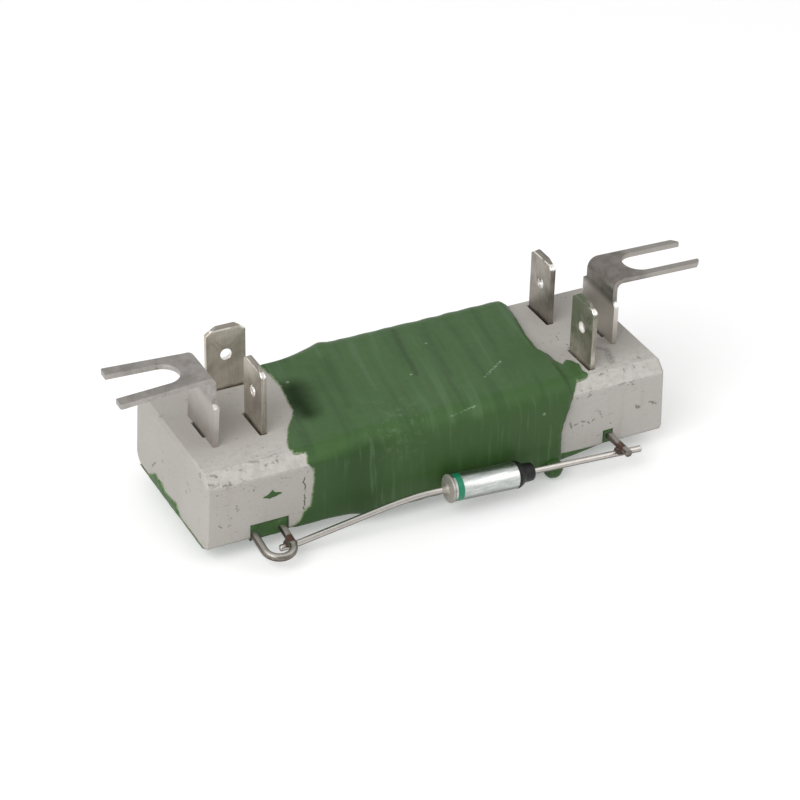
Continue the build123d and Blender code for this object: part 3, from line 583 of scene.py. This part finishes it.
loop_rust = LOOP_WELD + Vector((0.2, -0.3, 0.4))
pin_rust = PIN_WELD + Vector((0, -0.2, 0.3))
tap = make_wire("tap_wire", (130, 125, 117), (176, 172, 164), (92, 86, 78), 0.24,
                ((loop_rust, 1.5), (pin_rust, 2.1)), mottle=0.35)
lead = make_wire("lead", (186, 181, 175), (226, 222, 217), (150, 144, 137), 0.14,
                 ((LOOP_WELD, 0.7), (PIN_WELD, 0.6)), mottle=0.15)
weld = make_wire("weld", (84, 74, 66), (150, 140, 130), (46, 38, 32), 0.3,
                 ((LOOP_WELD, 1.6), (PIN_WELD, 1.6)))
case = make_case(FUSE_START, ALONG)
seal = make_seal()
pellet = make_inner("pellet", (196, 186, 160), (176, 164, 138), 0.0)
brass = make_inner("brass", (176, 148, 98), (150, 122, 78), 1.0)


def as_piece(name, vertices, faces, material, replaced=(), from_edge=None):
    """Mesh from points in millimetres, riding on the one body."""
    mesh = bpy.data.meshes.new(name)
    mesh.from_pydata([tuple(float(c) * MM for c in v) for v in vertices], [], faces)
    if from_edge is not None:
        made = mesh.attributes.new("from_edge", "FLOAT", "POINT")
        made.data.foreach_set("value", np.asarray(from_edge, np.float32))
    mesh.materials.append(material)
    mesh.polygons.foreach_set("use_smooth", [True] * len(mesh.polygons))
    mesh.update()
    piece = placed(name, mesh)
    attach(piece, "root")
    if replaced:
        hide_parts(*replaced)
    return piece


def smooth_step(value, low, high):
    """0 below low, 1 above high and a smooth rise between, on arrays."""
    share = np.clip((value - low) / (high - low), 0, 1)
    return share * share * (3 - 2 * share)


def waves(x, y, size, seed, octaves=3):
    """Smooth noise between about -1 and 1 on arrays of places."""
    flat = [noise.fractal(Vector((a / size, b / size, seed)), 1.0, 2.0, octaves)
            for a, b in zip(np.ravel(x), np.ravel(y))]
    return np.array(flat).reshape(np.shape(x))


def signed_distance(x, v, outline):
    """Distance to a closed outline of (x, v) points, positive inside it."""
    points = np.array(outline, float)
    nearest = np.full(x.shape, 1e9)
    inside = np.zeros(x.shape, bool)
    for (x0, v0), (x1, v1) in zip(points, np.roll(points, -1, 0)):
        run = np.array((x1 - x0, v1 - v0))
        share = np.clip(((x - x0) * run[0] + (v - v0) * run[1]) / max(run @ run, 1e-9), 0, 1)
        nearest = np.minimum(nearest, np.hypot(x - x0 - share * run[0], v - v0 - share * run[1]))
        if v0 != v1:
            crossed = ((v0 > v) != (v1 > v)) & (x < x0 + (v - v0) * (x1 - x0) / (v1 - v0))
            inside ^= crossed
    return np.where(inside, nearest, -nearest)


# Cells are kept up to this far outside an outline, and what has no torn edge counts as this far inside
EDGE_MARGIN = -0.22
WELL_INSIDE = 3.0


def grid(*axes):
    """Arrays of the places where the axes cross, the first axis first."""
    return np.meshgrid(*axes, indexing="ij")


def coat(name, xs, vs, place, depth, from_edge, replaced=(), closed=False, under=-0.06):
    """Closed skin of cement over a surface: a grid whose cells are kept where from_edge is high enough.

    place(x, v, d) gives points at height d over the surface. depth and from_edge are arrays over the
    grid.
    """
    columns, rows = len(xs), len(vs)
    grid_x, grid_v = grid(xs, vs)
    outer = place(grid_x, grid_v, depth).reshape(-1, 3)
    inner = place(grid_x, grid_v, np.minimum(depth - 0.02, under)).reshape(-1, 3)
    last = rows if closed else rows - 1
    kept = from_edge > EDGE_MARGIN
    kept = kept[:-1] | kept[1:]
    kept = (kept | np.roll(kept, -1, 1))[:, :last]
    offset = columns * rows
    faces = []

    def index(i, j):
        return i * rows + j % rows

    for i, j in zip(*np.nonzero(kept)):
        a, b, c, d = index(i, j), index(i + 1, j), index(i + 1, j + 1), index(i, j + 1)
        faces.append((a, b, c, d))
        faces.append((d + offset, c + offset, b + offset, a + offset))
        if i == 0 or not kept[i - 1, j]:
            faces.append((a, d, d + offset, a + offset))
        if i == columns - 2 or not kept[i + 1, j]:
            faces.append((c, b, b + offset, c + offset))
        before = j - 1 if (j or closed) else None
        after = (j + 1) % last if (j < last - 1 or closed) else None
        if before is None or not kept[i, before]:
            faces.append((b, a, a + offset, b + offset))
        if after is None or not kept[i, after]:
            faces.append((d, c, c + offset, d + offset))
    points = np.concatenate([outer, inner])
    edge = np.concatenate([from_edge.ravel(), from_edge.ravel()])
    used = np.unique(np.array([index for face in faces for index in face]))
    renumber = np.full(len(points), -1)
    renumber[used] = np.arange(len(used))
    faces = [tuple(int(renumber[index]) for index in face) for face in faces]
    as_piece(name, points[used], faces, cement, replaced, edge[used])


# How far each corner is along the run round the block's section, which goes from the middle of the
# underside up the front and over the top
RUN_FRONT = HALF_WIDTH
RUN_CHAMFER = RUN_FRONT + HEIGHT - CHAMFER
SLOPE = CHAMFER * math.sqrt(2)
RUN_TOP = RUN_CHAMFER + SLOPE
RUN_BACK_CHAMFER = RUN_TOP + 2 * (HALF_WIDTH - CHAMFER)
RUN_BACK = RUN_BACK_CHAMFER + SLOPE
RUN_UNDER = RUN_BACK + HEIGHT - CHAMFER
RUN_END = RUN_UNDER + HALF_WIDTH


def section(v):
    """Points (y, z) of the bare block and of the wound block at run v, and the outward normal there."""
    stops = (0, RUN_FRONT - FRONT_EDGE, RUN_FRONT + FRONT_EDGE, RUN_CHAMFER, RUN_TOP, RUN_BACK_CHAMFER,
             RUN_BACK, RUN_UNDER - BACK_EDGE, RUN_UNDER + BACK_EDGE, RUN_END)
    angle = np.radians(np.interp(v, stops, (270, 270, 180, 180, 90, 90, 0, 0, -90, -90)))
    normal = np.stack([np.cos(angle), np.sin(angle)], -1)

    def rounded(across, up, radii):
        """Outline from the middles of its rounds at the stops and their radii."""
        middles = np.stack([np.interp(v, stops, across), np.interp(v, stops, up)], -1)
        return middles + np.interp(v, stops, radii)[..., None] * normal

    w, h, c, s = HALF_WIDTH, HEIGHT, CHAMFER, SLEEVE_CORNER
    f, b = FRONT_EDGE, BACK_EDGE
    bare = rounded((0, f - w, f - w, -w, c - w, w - c, w, w - b, w - b, 0),
                   (f, f, f, h - c, h, h, h - c, b, b, b), (f, f, f, 0, 0, 0, 0, b, b, b))
    f, b = SLEEVE_FRONT_EDGE, SLEEVE_BACK_EDGE
    wound = rounded((0, f - w, f - w, s - w, s - w, w - s, w - s, w - b, w - b, 0),
                    (f, f, f, h - s, h - s, h - s, h - s, b, b, b), (f, f, f, s, s, s, s, b, b, b))
    return bare, wound, normal


# The cement's left and right edges, (x, run) from the middle of the underside round to it again
LEFT_EDGE = ((-22.4, 0), (-22.6, 9), (-23.1, 12.4), (-24.6, 13.6), (-23.0, 14.2), (-22.5, 15.9),
             (-21.4, 16.4), (-21.2, 18.2), (-20.9, 20.5), (-20.9, 22.3), (-21.2, 23.0), (-21.9, 23.8),
             (-21.6, 24.6), (-21.6, 25.2), (-22.5, 25.3), (-23.5, 25.5), (-23.6, 27.0), (-22.8, 29.1),
             (-21.6, 31.5), (-19.9, 33.8), (-19.0, 35.4), (-18.4, 39.2), (-17.9, 42.1), (-17.9, 44.8),
             (-18.2, 47.6), (-18.6, 50.0), (-19.6, 52.3), (-19.2, 55.0), (-20.4, 58.0), (-21.5, 61.0),
             (-22.4, RUN_END))
RIGHT_EDGE = ((24.0, 0), (23.5, 7), (20.8, 11), (19.9, 13.9), (19.8, 15.9), (19.8, 17.6), (20.1, 19.5),
              (20.6, 21.1), (21.3, 22.6), (21.6, 23.7), (22.3, 24.5), (22.9, 25.5), (23.4, 25.3),
              (25.1, 25.8), (24.8, 27.3), (25.2, 29.0), (24.6, 30.5), (23.9, 31.0), (22.9, 29.9),
              (22.4, 31.3), (22.4, 33.2), (21.4, 34.7), (21.8, 39.3), (22.8, 44.0), (23.5, 48.0),
              (23.7, 49.6), (24.4, 52.0), (24.2, 54.6), (24.5, 58.0), (24.2, 61.5), (24.0, RUN_END))


def slant(v):
    """How far along x a turn has moved at run v: none on the front, one pitch on the back."""
    return PITCH * np.clip((v - RUN_TOP) / (RUN_BACK_CHAMFER - RUN_TOP), 0, 1)


def sleeve_place(x, v, depth):
    """Points over the block where the cement is thin, and over the wound block where it is deep."""
    bare, wound, normal = section(v)
    share = smooth_step(depth, 0.2, 0.85)[..., None]
    flat = bare * (1 - share) + wound * share + normal * depth[..., None]
    return np.concatenate([x[..., None], flat], -1)


def rounded_lip(from_edge, width):
    """How far into a lip of this width each place is, from 0 to 1, and the lip's height there."""
    share = np.clip(from_edge / width, 0, 1)
    return share, np.sqrt(1 - (1 - share) ** 2)


def make_sleeve():
    """Sleeve over the winding: ridges, sloping left ramp, torn edges and the tongue at the right."""
    xs = np.concatenate([np.arange(-25.2, -16.6, 0.17), np.arange(-16.6, 18.6, 0.42),
                         np.arange(18.6, 25.8, 0.17)])
    vs = np.concatenate([np.arange(0, 12.2, 1.1), np.arange(12.2, 52.0, 0.26),
                         np.arange(52.0, RUN_END - 0.3, 0.6)])
    x, v = grid(xs, vs)
    # The outline runs past the seam under the block, so that the skin has no lip there
    outline = [(LEFT_EDGE[0][0], -3.0), *LEFT_EDGE, (LEFT_EDGE[-1][0], RUN_END + 3.0),
               (RIGHT_EDGE[-1][0], RUN_END + 3.0), *RIGHT_EDGE[::-1], (RIGHT_EDGE[0][0], -3.0)]
    from_edge = signed_distance(x, v, outline)
    from_edge += 0.13 * waves(x, v, 0.9, 3.1) + 0.06 * waves(x, v, 0.3, 8.4, 2)
    turn_x = FIRST_TURN + slant(v)
    lean = np.interp(v, (0, RUN_CHAMFER, RUN_TOP, RUN_BACK_CHAMFER, RUN_BACK, RUN_END),
                     (0, 0, 0.15, 1, 1, 0))
    foot = RAMP_FOOT + RAMP_LEAN * lean
    first = turn_x - PITCH * smooth_step(v, RUN_UNDER + 2.0, RUN_UNDER + 5.5)
    rise = np.clip((x - foot) / (first - foot), 0, 1)
    rise = rise ** 1.25 * (1 - (1 - rise) ** 3 * 0.2)
    phase = (x - turn_x) / PITCH
    ridge = np.cos(2 * math.pi * phase)
    ridge = np.sign(ridge) * np.abs(ridge) ** 0.8
    # Each turn has its own unevenness
    uneven = 0.6 + 0.5 * waves(np.round(phase) * 7.3, v, 9.0, 5.0, 2)
    on_turns = smooth_step(phase, -0.7, 0.1) * smooth_step(22.5 - x, 0, 1.5)
    wound = WOUND_DEPTH + on_turns * RIDGE * uneven * ridge
    wound = wound + 0.05 * waves(x, v, 7.0, 2.2) + 0.02 * waves(x, v, 1.6, 6.6)
    # The first turn stands proud at the back, where the wire starts its run
    bulge = np.exp(-((x - turn_x) / 1.9) ** 2) * smooth_step(v, RUN_TOP + 6, RUN_BACK_CHAMFER)
    wound = wound + FIRST_BULGE * bulge * (v < RUN_UNDER)
    thin = THIN_DEPTH + 0.05 * waves(x, v, 2.5, 1.3)
    depth = thin + (wound - thin) * rise
    # Hollow between the torn edge and the ramp; the cement's material paints a shadow over it
    hollow = np.exp(-((x + 17.6) / 1.5) ** 2 - ((v - RUN_TOP - 8.5) / 3.2) ** 2)
    depth = depth - HOLLOW_DEPTH * hollow
    # Right end: the full depth stops at the last turn and a thin tongue runs on
    rim = np.interp(v, (RUN_CHAMFER, RUN_TOP, RUN_BACK_CHAMFER, RUN_BACK), (20.4, 20.6, 22.6, 22.8))
    falling = smooth_step(x, rim - 0.3, rim + 1.1)
    depth = depth + (TONGUE_DEPTH + 0.06 * waves(x, v, 1.8, 4.4) - depth) * falling
    # Rounded lip along the whole edge
    profile = rounded_lip(from_edge, np.where(x < 0, 0.3, 0.3 + 0.75 * (1 - falling)))[1]
    depth = EDGE_DEPTH + np.where(from_edge > 0, (depth - EDGE_DEPTH) * profile, 0.6 * from_edge)
    # Little cement clings to the lower front edge on the left
    thinned = np.exp(-((v - RUN_FRONT) / 2.2) ** 2) * smooth_step(-x, 12.6, 15.5)
    depth = np.where(from_edge > 0, depth * (1 - 0.45 * thinned), depth)
    coat("cement_sleeve", xs, vs, sleeve_place, depth, from_edge, ("cement_coating",), True)


def rounded_box_distance(x, y, low_x, high_x, low_y, high_y, corner):
    """Distance inside a rounded rectangle, negative outside it."""
    across = np.abs(x - (low_x + high_x) / 2) - (high_x - low_x) / 2 + corner
    up = np.abs(y - (low_y + high_y) / 2) - (high_y - low_y) / 2 + corner
    beyond = np.hypot(np.maximum(across, 0), np.maximum(up, 0))
    return corner - beyond - np.minimum(np.maximum(across, up), 0)


def make_underside():
    """Cement layer under the block, which fills the pockets and covers the winding's two tails."""
    xs = np.arange(-38.0, 38.01, 0.36)
    ys = np.arange(-12.2, 12.61, 0.36)
    x, y = grid(xs, ys)
    from_edge = rounded_box_distance(x, y, -37.5, 37.5, -11.6, 12.0, 1.8) + 0.25 * waves(x, y, 2.6, 9.1)
    share, profile = rounded_lip(from_edge, 0.7)
    depth = 0.42 * profile + 0.05 * waves(x, y, 3.4, 7.7) * share
    for low, high, row in ((-22.8, -11.0, 6.5), (21.0, 25.6, 7.0)):
        away = np.hypot(x - np.clip(x, low, high), y - row)
        depth = np.maximum(depth, (1.2 + 0.04 * waves(x, y, 1.2, 3.0)) * np.exp(-(away / 1.15) ** 2))
    depth = np.where(from_edge > 0, depth, 0.5 * from_edge)

    def place(grid_x, grid_y, height):
        return np.stack([grid_x, -grid_y, -height], -1)

    coat("cement_underside", xs, -ys[::-1], place, depth[:, ::-1], from_edge[:, ::-1])


def make_end_creep():
    """Cement that crept up the lower edge of the left end."""
    outline = ((-11.6, -0.6), (-11.4, 0.4), (-8.0, 0.3), (-4.6, 0.5), (-3.8, 0.9), (-2.6, 1.9),
               (-0.8, 1.6), (1.4, 1.3), (3.0, 2.1), (4.2, 2.0), (5.3, 2.25), (7.0, 1.1), (8.5, 0.1),
               (8.8, -0.6))
    ys = np.arange(-12.0, 11.0, 0.2)
    zs = np.arange(-0.5, 2.9, 0.14)
    y, z = grid(ys, zs)
    from_edge = signed_distance(y, z, outline) + 0.16 * waves(y, z, 0.9, 12.0)
    share, profile = rounded_lip(from_edge, 0.35)
    depth = 0.3 * profile + 0.05 * waves(y, z, 1.2, 2.0) * share
    depth = np.where(from_edge > 0, depth, 0.5 * from_edge)

    def place(grid_y, grid_z, height):
        chamfer = np.clip(0.5 - grid_z, 0, 0.5)
        end = -HALF_LENGTH + chamfer + 0.5 * np.clip(grid_z, 0, None) / HEIGHT
        return np.stack([end - height, grid_y, grid_z], -1)

    coat("cement_end_creep", ys, zs, place, depth, from_edge)


def make_fleck():
    """Small green fleck on the front near the left end."""
    outline = ((-28.9, 6.75), (-27.9, 7.2), (-27.3, 7.75), (-27.0, 7.3), (-25.7, 6.8), (-26.6, 6.5),
               (-27.7, 6.3))
    xs = np.arange(-29.2, -25.4, 0.09)
    zs = np.arange(6.0, 8.1, 0.09)
    x, z = grid(xs, zs)
    from_edge = signed_distance(x, z, outline) + 0.07 * waves(x, z, 0.5, 4.0)
    depth = np.clip(from_edge * 0.4, -0.04, 0.07)

    def place(grid_x, grid_z, height):
        return np.stack([grid_x, -HALF_WIDTH - height, grid_z], -1)

    coat("cement_fleck", xs, zs, place, depth, from_edge + 0.1)


def make_notch_fill(name, low_x, high_x, low, top, wires):
    """Cement in a wire notch, sunk a little behind the front and drawn out along the wires."""
    recess = 0.45
    xs = np.arange(low_x + 0.02, high_x, 0.12)
    zs = np.arange(low, top, 0.12)
    x, z = grid(xs, zs)
    depth = 0.12 * waves(x, z, 1.4, 3.3)
    for wire_x, wire_z in wires:
        away = np.hypot(x - wire_x, z - wire_z)
        depth = depth + 0.5 * np.exp(-np.clip(away - 0.55, 0, None) / 0.35)
    wall = np.minimum(np.minimum(x - low_x, high_x - x), top - z)
    depth = depth + 0.25 * np.exp(-wall / 0.25)

    def place(grid_x, grid_z, height):
        return np.stack([grid_x, -HALF_WIDTH + recess - height, grid_z], -1)

    coat(name, xs, zs, place, depth, np.full(x.shape, WELL_INSIDE), under=-0.9)


def ring_faces(rings, sides, turned_in=False):
    """Faces that join rings of points into a closed body, with a cap at each end."""
    faces = []
    for i in range(rings - 1):
        here, there = i * sides, (i + 1) * sides
        for j in range(sides):
            k = (j + 1) % sides
            face = (here + j, here + k, there + k, there + j)
            faces.append((face[0], *face[:0:-1]) if turned_in else face)
    first, last = tuple(range(sides)), tuple(range((rings - 1) * sides, rings * sides))
    return faces + ([first, last[::-1]] if turned_in else [first[::-1], last])


def ball(centre, size, rings, sides, unevenness, grain, seed, octaves):
    """Points and faces of an uneven ball, whose size is its half width on each axis."""
    points = []
    for i in range(rings):
        tilt = math.pi * (i + 0.5) / rings
        for j in range(sides):
            angle = 2 * math.pi * j / sides
            ray = Vector((math.sin(tilt) * math.cos(angle), math.sin(tilt) * math.sin(angle),
                          math.cos(tilt)))
            uneven = 1 + unevenness * noise.fractal(ray * grain + Vector(seed), 1.0, 2.0, octaves)
            points.append(Vector(centre) + ray * Vector(size) * uneven)
    return points, ring_faces(rings, sides, turned_in=True)


def make_bead():
    """Drop of cement that hangs from the lower front edge near the right end."""
    points, faces = ball((18.25, -14.1, -0.96), (1.52, 1.376, 1.568), rings=22, sides=36,
                         unevenness=0.05, grain=1.3, seed=(4, 1, 2), octaves=3)
    as_piece("cement_bead", points, faces, cement, from_edge=[WELL_INSIDE] * len(points))


def make_lower_rim():
    """Swelling of cement under the lower front edge, from the sleeve's right end to the right notch."""
    rings, sides = 46, 20
    points = []
    for share in np.linspace(0, 1, rings):
        x = 18.0 + 9.1 * share
        size = max(0.06, (1 - share ** 1.6) * min(1.0, 0.35 + 3 * share))
        size *= 1 + 0.14 * noise.noise(Vector((x / 1.1, 3, 0)))
        for j in range(sides):
            angle = 2 * math.pi * j / sides
            points.append((x, -12.72 + 0.62 * size * math.cos(angle),
                           0.05 - 0.1 * (1 - share) + 0.85 * size * math.sin(angle)))
    as_piece("cement_lower_rim", points, ring_faces(rings, sides), cement,
             from_edge=[WELL_INSIDE] * len(points))


make_sleeve()
make_underside()
make_end_creep()
make_fleck()
make_notch_fill("cement_left_notch", -30.85, -24.75, -0.35, 2.55,
                ((LOOP_LEFT, TAP_LEVEL), (LOOP_RIGHT, TAP_LEVEL)))
make_notch_fill("cement_right_notch", 27.2, 29.0, 0.15, 2.65, ((PIN_X, TAP_LEVEL),))
make_bead()
make_lower_rim()


def route_points(corners, bend, step=0.2):
    """Evenly stepped points along straight runs whose corners are eased over the bend length."""
    path = [Vector(corners[0])]
    for before, corner, after in zip(corners, corners[1:], corners[2:]):
        before, corner, after = Vector(before), Vector(corner), Vector(after)
        reach = min(bend, (corner - before).length * 0.45, (after - corner).length * 0.45)
        start = corner + (before - corner).normalized() * reach
        end = corner + (after - corner).normalized() * reach
        for i in range(9):
            t = i / 8
            path.append(start * (1 - t) ** 2 + corner * 2 * t * (1 - t) + end * t ** 2)
    path.append(Vector(corners[-1]))
    even = [path[0]]
    for a, b in zip(path, path[1:]):
        count = max(1, round((b - a).length / step))
        even += [a.lerp(b, i / count) for i in range(1, count + 1)]
    return even


def circle(side, up, sides):
    """Directions evenly round a circle."""
    angles = [2 * math.pi * j / sides for j in range(sides)]
    return [side * math.cos(angle) + up * math.sin(angle) for angle in angles]


def tube(name, corners, radius, material, node, bend=0.6, ends=(0.12, 0.12), squeeze=()):
    """Round wire along a route, with chamfered ends; squeeze flattens it near the given places."""
    sides = 28
    path = route_points(corners, bend)
    last = len(path) - 1
    tangents = [(path[min(i + 1, last)] - path[max(i - 1, 0)]).normalized() for i in range(last + 1)]
    side = tangents[0].orthogonal().normalized()
    rings = []
    for i, (centre, tangent) in enumerate(zip(path, tangents)):
        side = (side - tangent * side.dot(tangent)).normalized()
        up = tangent.cross(side)
        if i == 0:
            rings.append((centre, side, up, radius - ends[0]))
            centre = centre + tangent * ends[0]
        if i == last:
            centre = centre - tangent * ends[1]
        rings.append((centre, side, up, radius))
        if i == last:
            rings.append((centre + tangent * ends[1], side, up, radius - ends[1]))
    points = []
    for centre, side, up, size in rings:
        flat = 1.0
        for place, reach, amount in squeeze:
            flat -= amount * math.exp(-((centre - place).length / reach) ** 2)
        for ray in circle(side, up, sides):
            rough = 1 + 0.012 * noise.fractal(centre * 0.8 + ray, 1.0, 2.0, 2)
            points.append(centre + Vector((ray.x, ray.y, ray.z * flat)) * size * rough)
    sharpen(as_piece(name, points, ring_faces(len(rings), sides), material, (node,)))


def sharpen(piece):
    """Keeps sharp edges crisp under smooth shading."""
    piece.data.set_sharp_from_angle(angle=math.radians(50))


def turned(name, outline, material, node):
    """Piece turned about the fuse's line from a closed outline of (distance along, radius) points."""
    sides = 72
    side = ALONG.cross(Vector((0, 0, 1))).normalized()
    points, faces = [], []
    for ray in circle(side, side.cross(ALONG), sides):
        points += [FUSE_START + ALONG * ahead + ray * radius for ahead, radius in outline]
    count = len(outline)
    for j in range(sides):
        k = (j + 1) % sides
        for i in range(count):
            m = (i + 1) % count
            faces.append((j * count + i, k * count + i, k * count + m, j * count + m))
    sharpen(as_piece(name, points, faces, material, (node,)))


def make_fuse_case():
    """Can with a raised rim round its flat left end, and crimped over the epoxy at the right."""
    low, top = 0.53, 2.06
    outline = [(-1.0, low), (-0.98, 0.57), (-0.6, 0.6), (-0.3, 0.68), (-0.14, 0.82), (-0.1, 1.0),
               (-0.07, 1.3), (-0.02, 1.6), (0.02, 1.75)]
    outline += [(0.24 - 0.22 * math.cos(angle), 1.9 + 0.26 * math.sin(angle))
                for angle in np.radians((15, 35, 55, 75, 90))]
    outline += [(0.36, 2.14), (0.44, 2.02), (0.52, 2.0), (0.62, 2.04), (0.8, top), (11.0, top),
                (11.05, 2.04), (11.1, 1.99), (11.42, 1.965), (11.6, 1.92), (11.8, 1.83), (11.98, 1.72),
                (12.0, 1.7), (11.7, 1.7), (11.6, 1.66), (0.5, 1.66), (0.5, low)]
    turned("fuse_can", outline, case, "fuse_case")


def make_fuse_seal():
    """Epoxy that fills the can's right end, laps over it and tapers down to the lead."""
    outline = [(11.67, 0.53), (11.67, 1.64), (12.02, 1.64), (12.02, 1.74), (11.82, 1.85), (11.62, 1.94),
               (11.43, 1.985), (11.12, 2.01), (11.09, 2.05), (11.2, 2.1), (11.45, 2.07), (11.7, 1.98),
               (12.0, 1.83), (12.2, 1.66), (12.34, 1.52), (12.55, 1.45), (13.6, 1.41), (13.95, 1.34),
               (14.1, 1.2), (14.16, 0.9), (14.16, 0.53)]
    turned("fuse_epoxy", outline, seal, "fuse_seal")


def lump(name, centre, size, node, seed):
    """Melted bead with an uneven skin."""
    points, faces = ball(centre, size, rings=20, sides=30, unevenness=0.30, grain=1.5,
                         seed=(seed, 0, 0), octaves=4)
    as_piece(name, points, faces, weld, (node,))


def make_wires():
    """Tap wires, fuse leads and the welds that join them."""
    radius = (LOOP_RIGHT - LOOP_LEFT) / 2
    slope = Vector((0, LOOP_FRONT - BEND_START, LOOP_FRONT_HEIGHT - TAP_LEVEL)).normalized()
    middle = Vector((LOOP_LEFT + radius, LOOP_FRONT, LOOP_FRONT_HEIGHT)) - radius * slope
    hairpin = [(LOOP_LEFT, 1.2, TAP_LEVEL), (LOOP_LEFT, BEND_START, TAP_LEVEL)]
    for step in range(13):
        angle = math.pi * step / 12
        across = Vector((radius * math.cos(angle), 0, 0))
        hairpin.append(middle - across + radius * math.sin(angle) * slope)
    hairpin += [(LOOP_RIGHT, BEND_START, TAP_LEVEL), (LOOP_RIGHT, -3.0, TAP_LEVEL)]
    tube("loop_wire", hairpin, TAP_RADIUS, tap, "tap_loop", bend=0.5,
         squeeze=((LOOP_WELD + Vector((0, 0, 0.7)), 1.6, 0.16),))
    pin = [(PIN_X, 1.2, TAP_LEVEL), (PIN_X, -10.6, TAP_LEVEL), (PIN_X, -19.2, TAP_LEVEL + 0.3)]
    tube("pin_wire", pin, TAP_RADIUS, tap, "tap_pin", ends=(0.12, 0.25),
         squeeze=((PIN_WELD + Vector((0, 0, 0.6)), 1.5, 0.14),))
    crossing = Vector((LOOP_RIGHT, LOOP_WELD.y, LEFT_CROSSING))
    tube("case_lead", [FUSE_START + ALONG * 0.7, FUSE_START - ALONG * 3.9, (-9.4, -16.38, 2.11),
                       crossing + Vector((1.0, 0, 0)), crossing - Vector((1.6, 0, 0))],
         LEAD_RADIUS, lead, "fuse_lead_case", bend=3.4)
    end = FUSE_START + ALONG * ((31.8 - FUSE_START.x) / ALONG.x)
    tube("isolated_lead", [FUSE_START + ALONG * 6.8, end], LEAD_RADIUS, lead,
         "fuse_lead_isolated")
    # Each weld stands a little over the lead that it joins
    above = Vector((0, 0, 0.45))
    lump("weld_bead_left", crossing + above, (0.95, 0.85, 0.62), "weld_left", 2.0)
    lump("weld_bead_right", CROSSING + above, (0.9, 0.85, 0.62), "weld_right", 7.0)


make_fuse_case()
make_fuse_seal()
make_wires()


def dress(material, *names):
    """Gives carried-over nodes their material."""
    for name in names:
        mesh = nodes[name].data
        mesh.materials.clear()
        mesh.materials.append(material)


def soften(name, width):
    """Small rounds on a carried-over node's edges, with flat faces kept flat in shading."""
    piece = nodes[name]
    piece.data.polygons.foreach_set("use_smooth", [True] * len(piece.data.polygons))
    merge = piece.modifiers.new("merge", "WELD")
    merge.merge_threshold = 0.002 * MM
    edges = piece.modifiers.new("edges", "BEVEL")
    edges.width = width * MM
    edges.segments = 2
    edges.limit_method = "ANGLE"
    edges.angle_limit = math.radians(28)
    edges.use_clamp_overlap = True
    shade = piece.modifiers.new("shade", "WEIGHTED_NORMAL")
    shade.keep_sharp = False


dress(ceramic, "ceramic_core", "fuse_bushing")
dress(left_plate, "fork_left")
dress(right_plate, "fork_right")
dress(blade, "tab_left_front", "tab_left_side")
dress(back_blade, "tab_right_back")
dress(smeared, "tab_right_front")
dress(tap, "resistance_winding")
dress(pellet, "fuse_pellet")
dress(brass, "fuse_disc_pellet", "fuse_disc_contact", "fuse_star_contact", "fuse_compression_spring",
      "fuse_trip_spring")
soften("ceramic_core", 0.16)
for terminal in ("fork_left", "fork_right", "tab_left_front", "tab_left_side", "tab_right_back",
                 "tab_right_front"):
    soften(terminal, 0.1)

# Floor, world and lamps
FLOOR_REACH = 2.0
FLOOR_GAP = 0.0001
FLOOR_GLOW = 0.3
WORLD_STRENGTH = 0.58
floor_mesh = bpy.data.meshes.new("floor")
floor_level = min(corner.z for corner in cad_box) - FLOOR_GAP
floor_corners = [(x * FLOOR_REACH, y * FLOOR_REACH, floor_level)
                 for x, y in ((-1, -1), (1, -1), (1, 1), (-1, 1))]
floor_mesh.from_pydata(floor_corners, [], [(0, 1, 2, 3)])
floor = placed("floor", floor_mesh)


def white_to_camera(tree, output, shaded, shown):
    """Shows one surface to camera, glossy and transmission rays and the shaded one to the rest."""
    path = tree.nodes.new("ShaderNodeLightPath")
    share = path.outputs["Is Camera Ray"]
    for ray in ("Is Glossy Ray", "Is Transmission Ray"):
        either = tree.nodes.new("ShaderNodeMath")
        either.operation = "MAXIMUM"
        tree.links.new(share, either.inputs[0])
        tree.links.new(path.outputs[ray], either.inputs[1])
        share = either.outputs[0]
    mix = tree.nodes.new("ShaderNodeMixShader")
    for i, source in enumerate((share, shaded, shown)):
        tree.links.new(source, mix.inputs[i])
    tree.links.new(mix.outputs[0], output.inputs["Surface"])


world = bpy.data.worlds.new("world")
bpy.context.scene.world = world
world.use_nodes = True
sky = world.node_tree.nodes
sky["Background"].inputs["Color"].default_value = (1, 1, 1, 1)
sky["Background"].inputs["Strength"].default_value = WORLD_STRENGTH
white = sky.new("ShaderNodeBackground")
white_to_camera(world.node_tree, sky["World Output"], sky["Background"].outputs[0], white.outputs[0])

floor_material = bpy.data.materials.new("floor")
floor_material.use_nodes = True
floor_mesh.materials.append(floor_material)
floor_tree = floor_material.node_tree
paper = floor_tree.nodes["Principled BSDF"]
paper.inputs["Base Color"].default_value = (0.8, 0.8, 0.8, 1)
glow = floor_tree.nodes.new("ShaderNodeEmission")
glow.inputs["Strength"].default_value = FLOOR_GLOW
lifted = floor_tree.nodes.new("ShaderNodeAddShader")
floor_tree.links.new(paper.outputs[0], lifted.inputs[0])
floor_tree.links.new(glow.outputs[0], lifted.inputs[1])
white_to_camera(floor_tree, floor_tree.nodes["Material Output"], paper.outputs[0], lifted.outputs[0])


def lamp(name, direction, distance, size, strength):
    """Square soft light aimed at the object's middle."""
    light = bpy.data.lights.new(name, "AREA")
    light.size = size
    light.energy = strength
    made = placed(name, light)
    ray = Vector(direction).normalized()
    made.location = ray * distance + Vector((0, 0, 0.01))
    made.rotation_mode = "QUATERNION"
    made.rotation_quaternion = ray.to_track_quat("Z", "Y")


lamp("key", (-0.80, -0.42, 0.72), distance=0.6, size=0.45, strength=2.3)
lamp("fill", (0.75, -0.55, 0.6), distance=0.7, size=0.5, strength=0.8)

bpy.context.scene.view_settings.view_transform = "Standard"
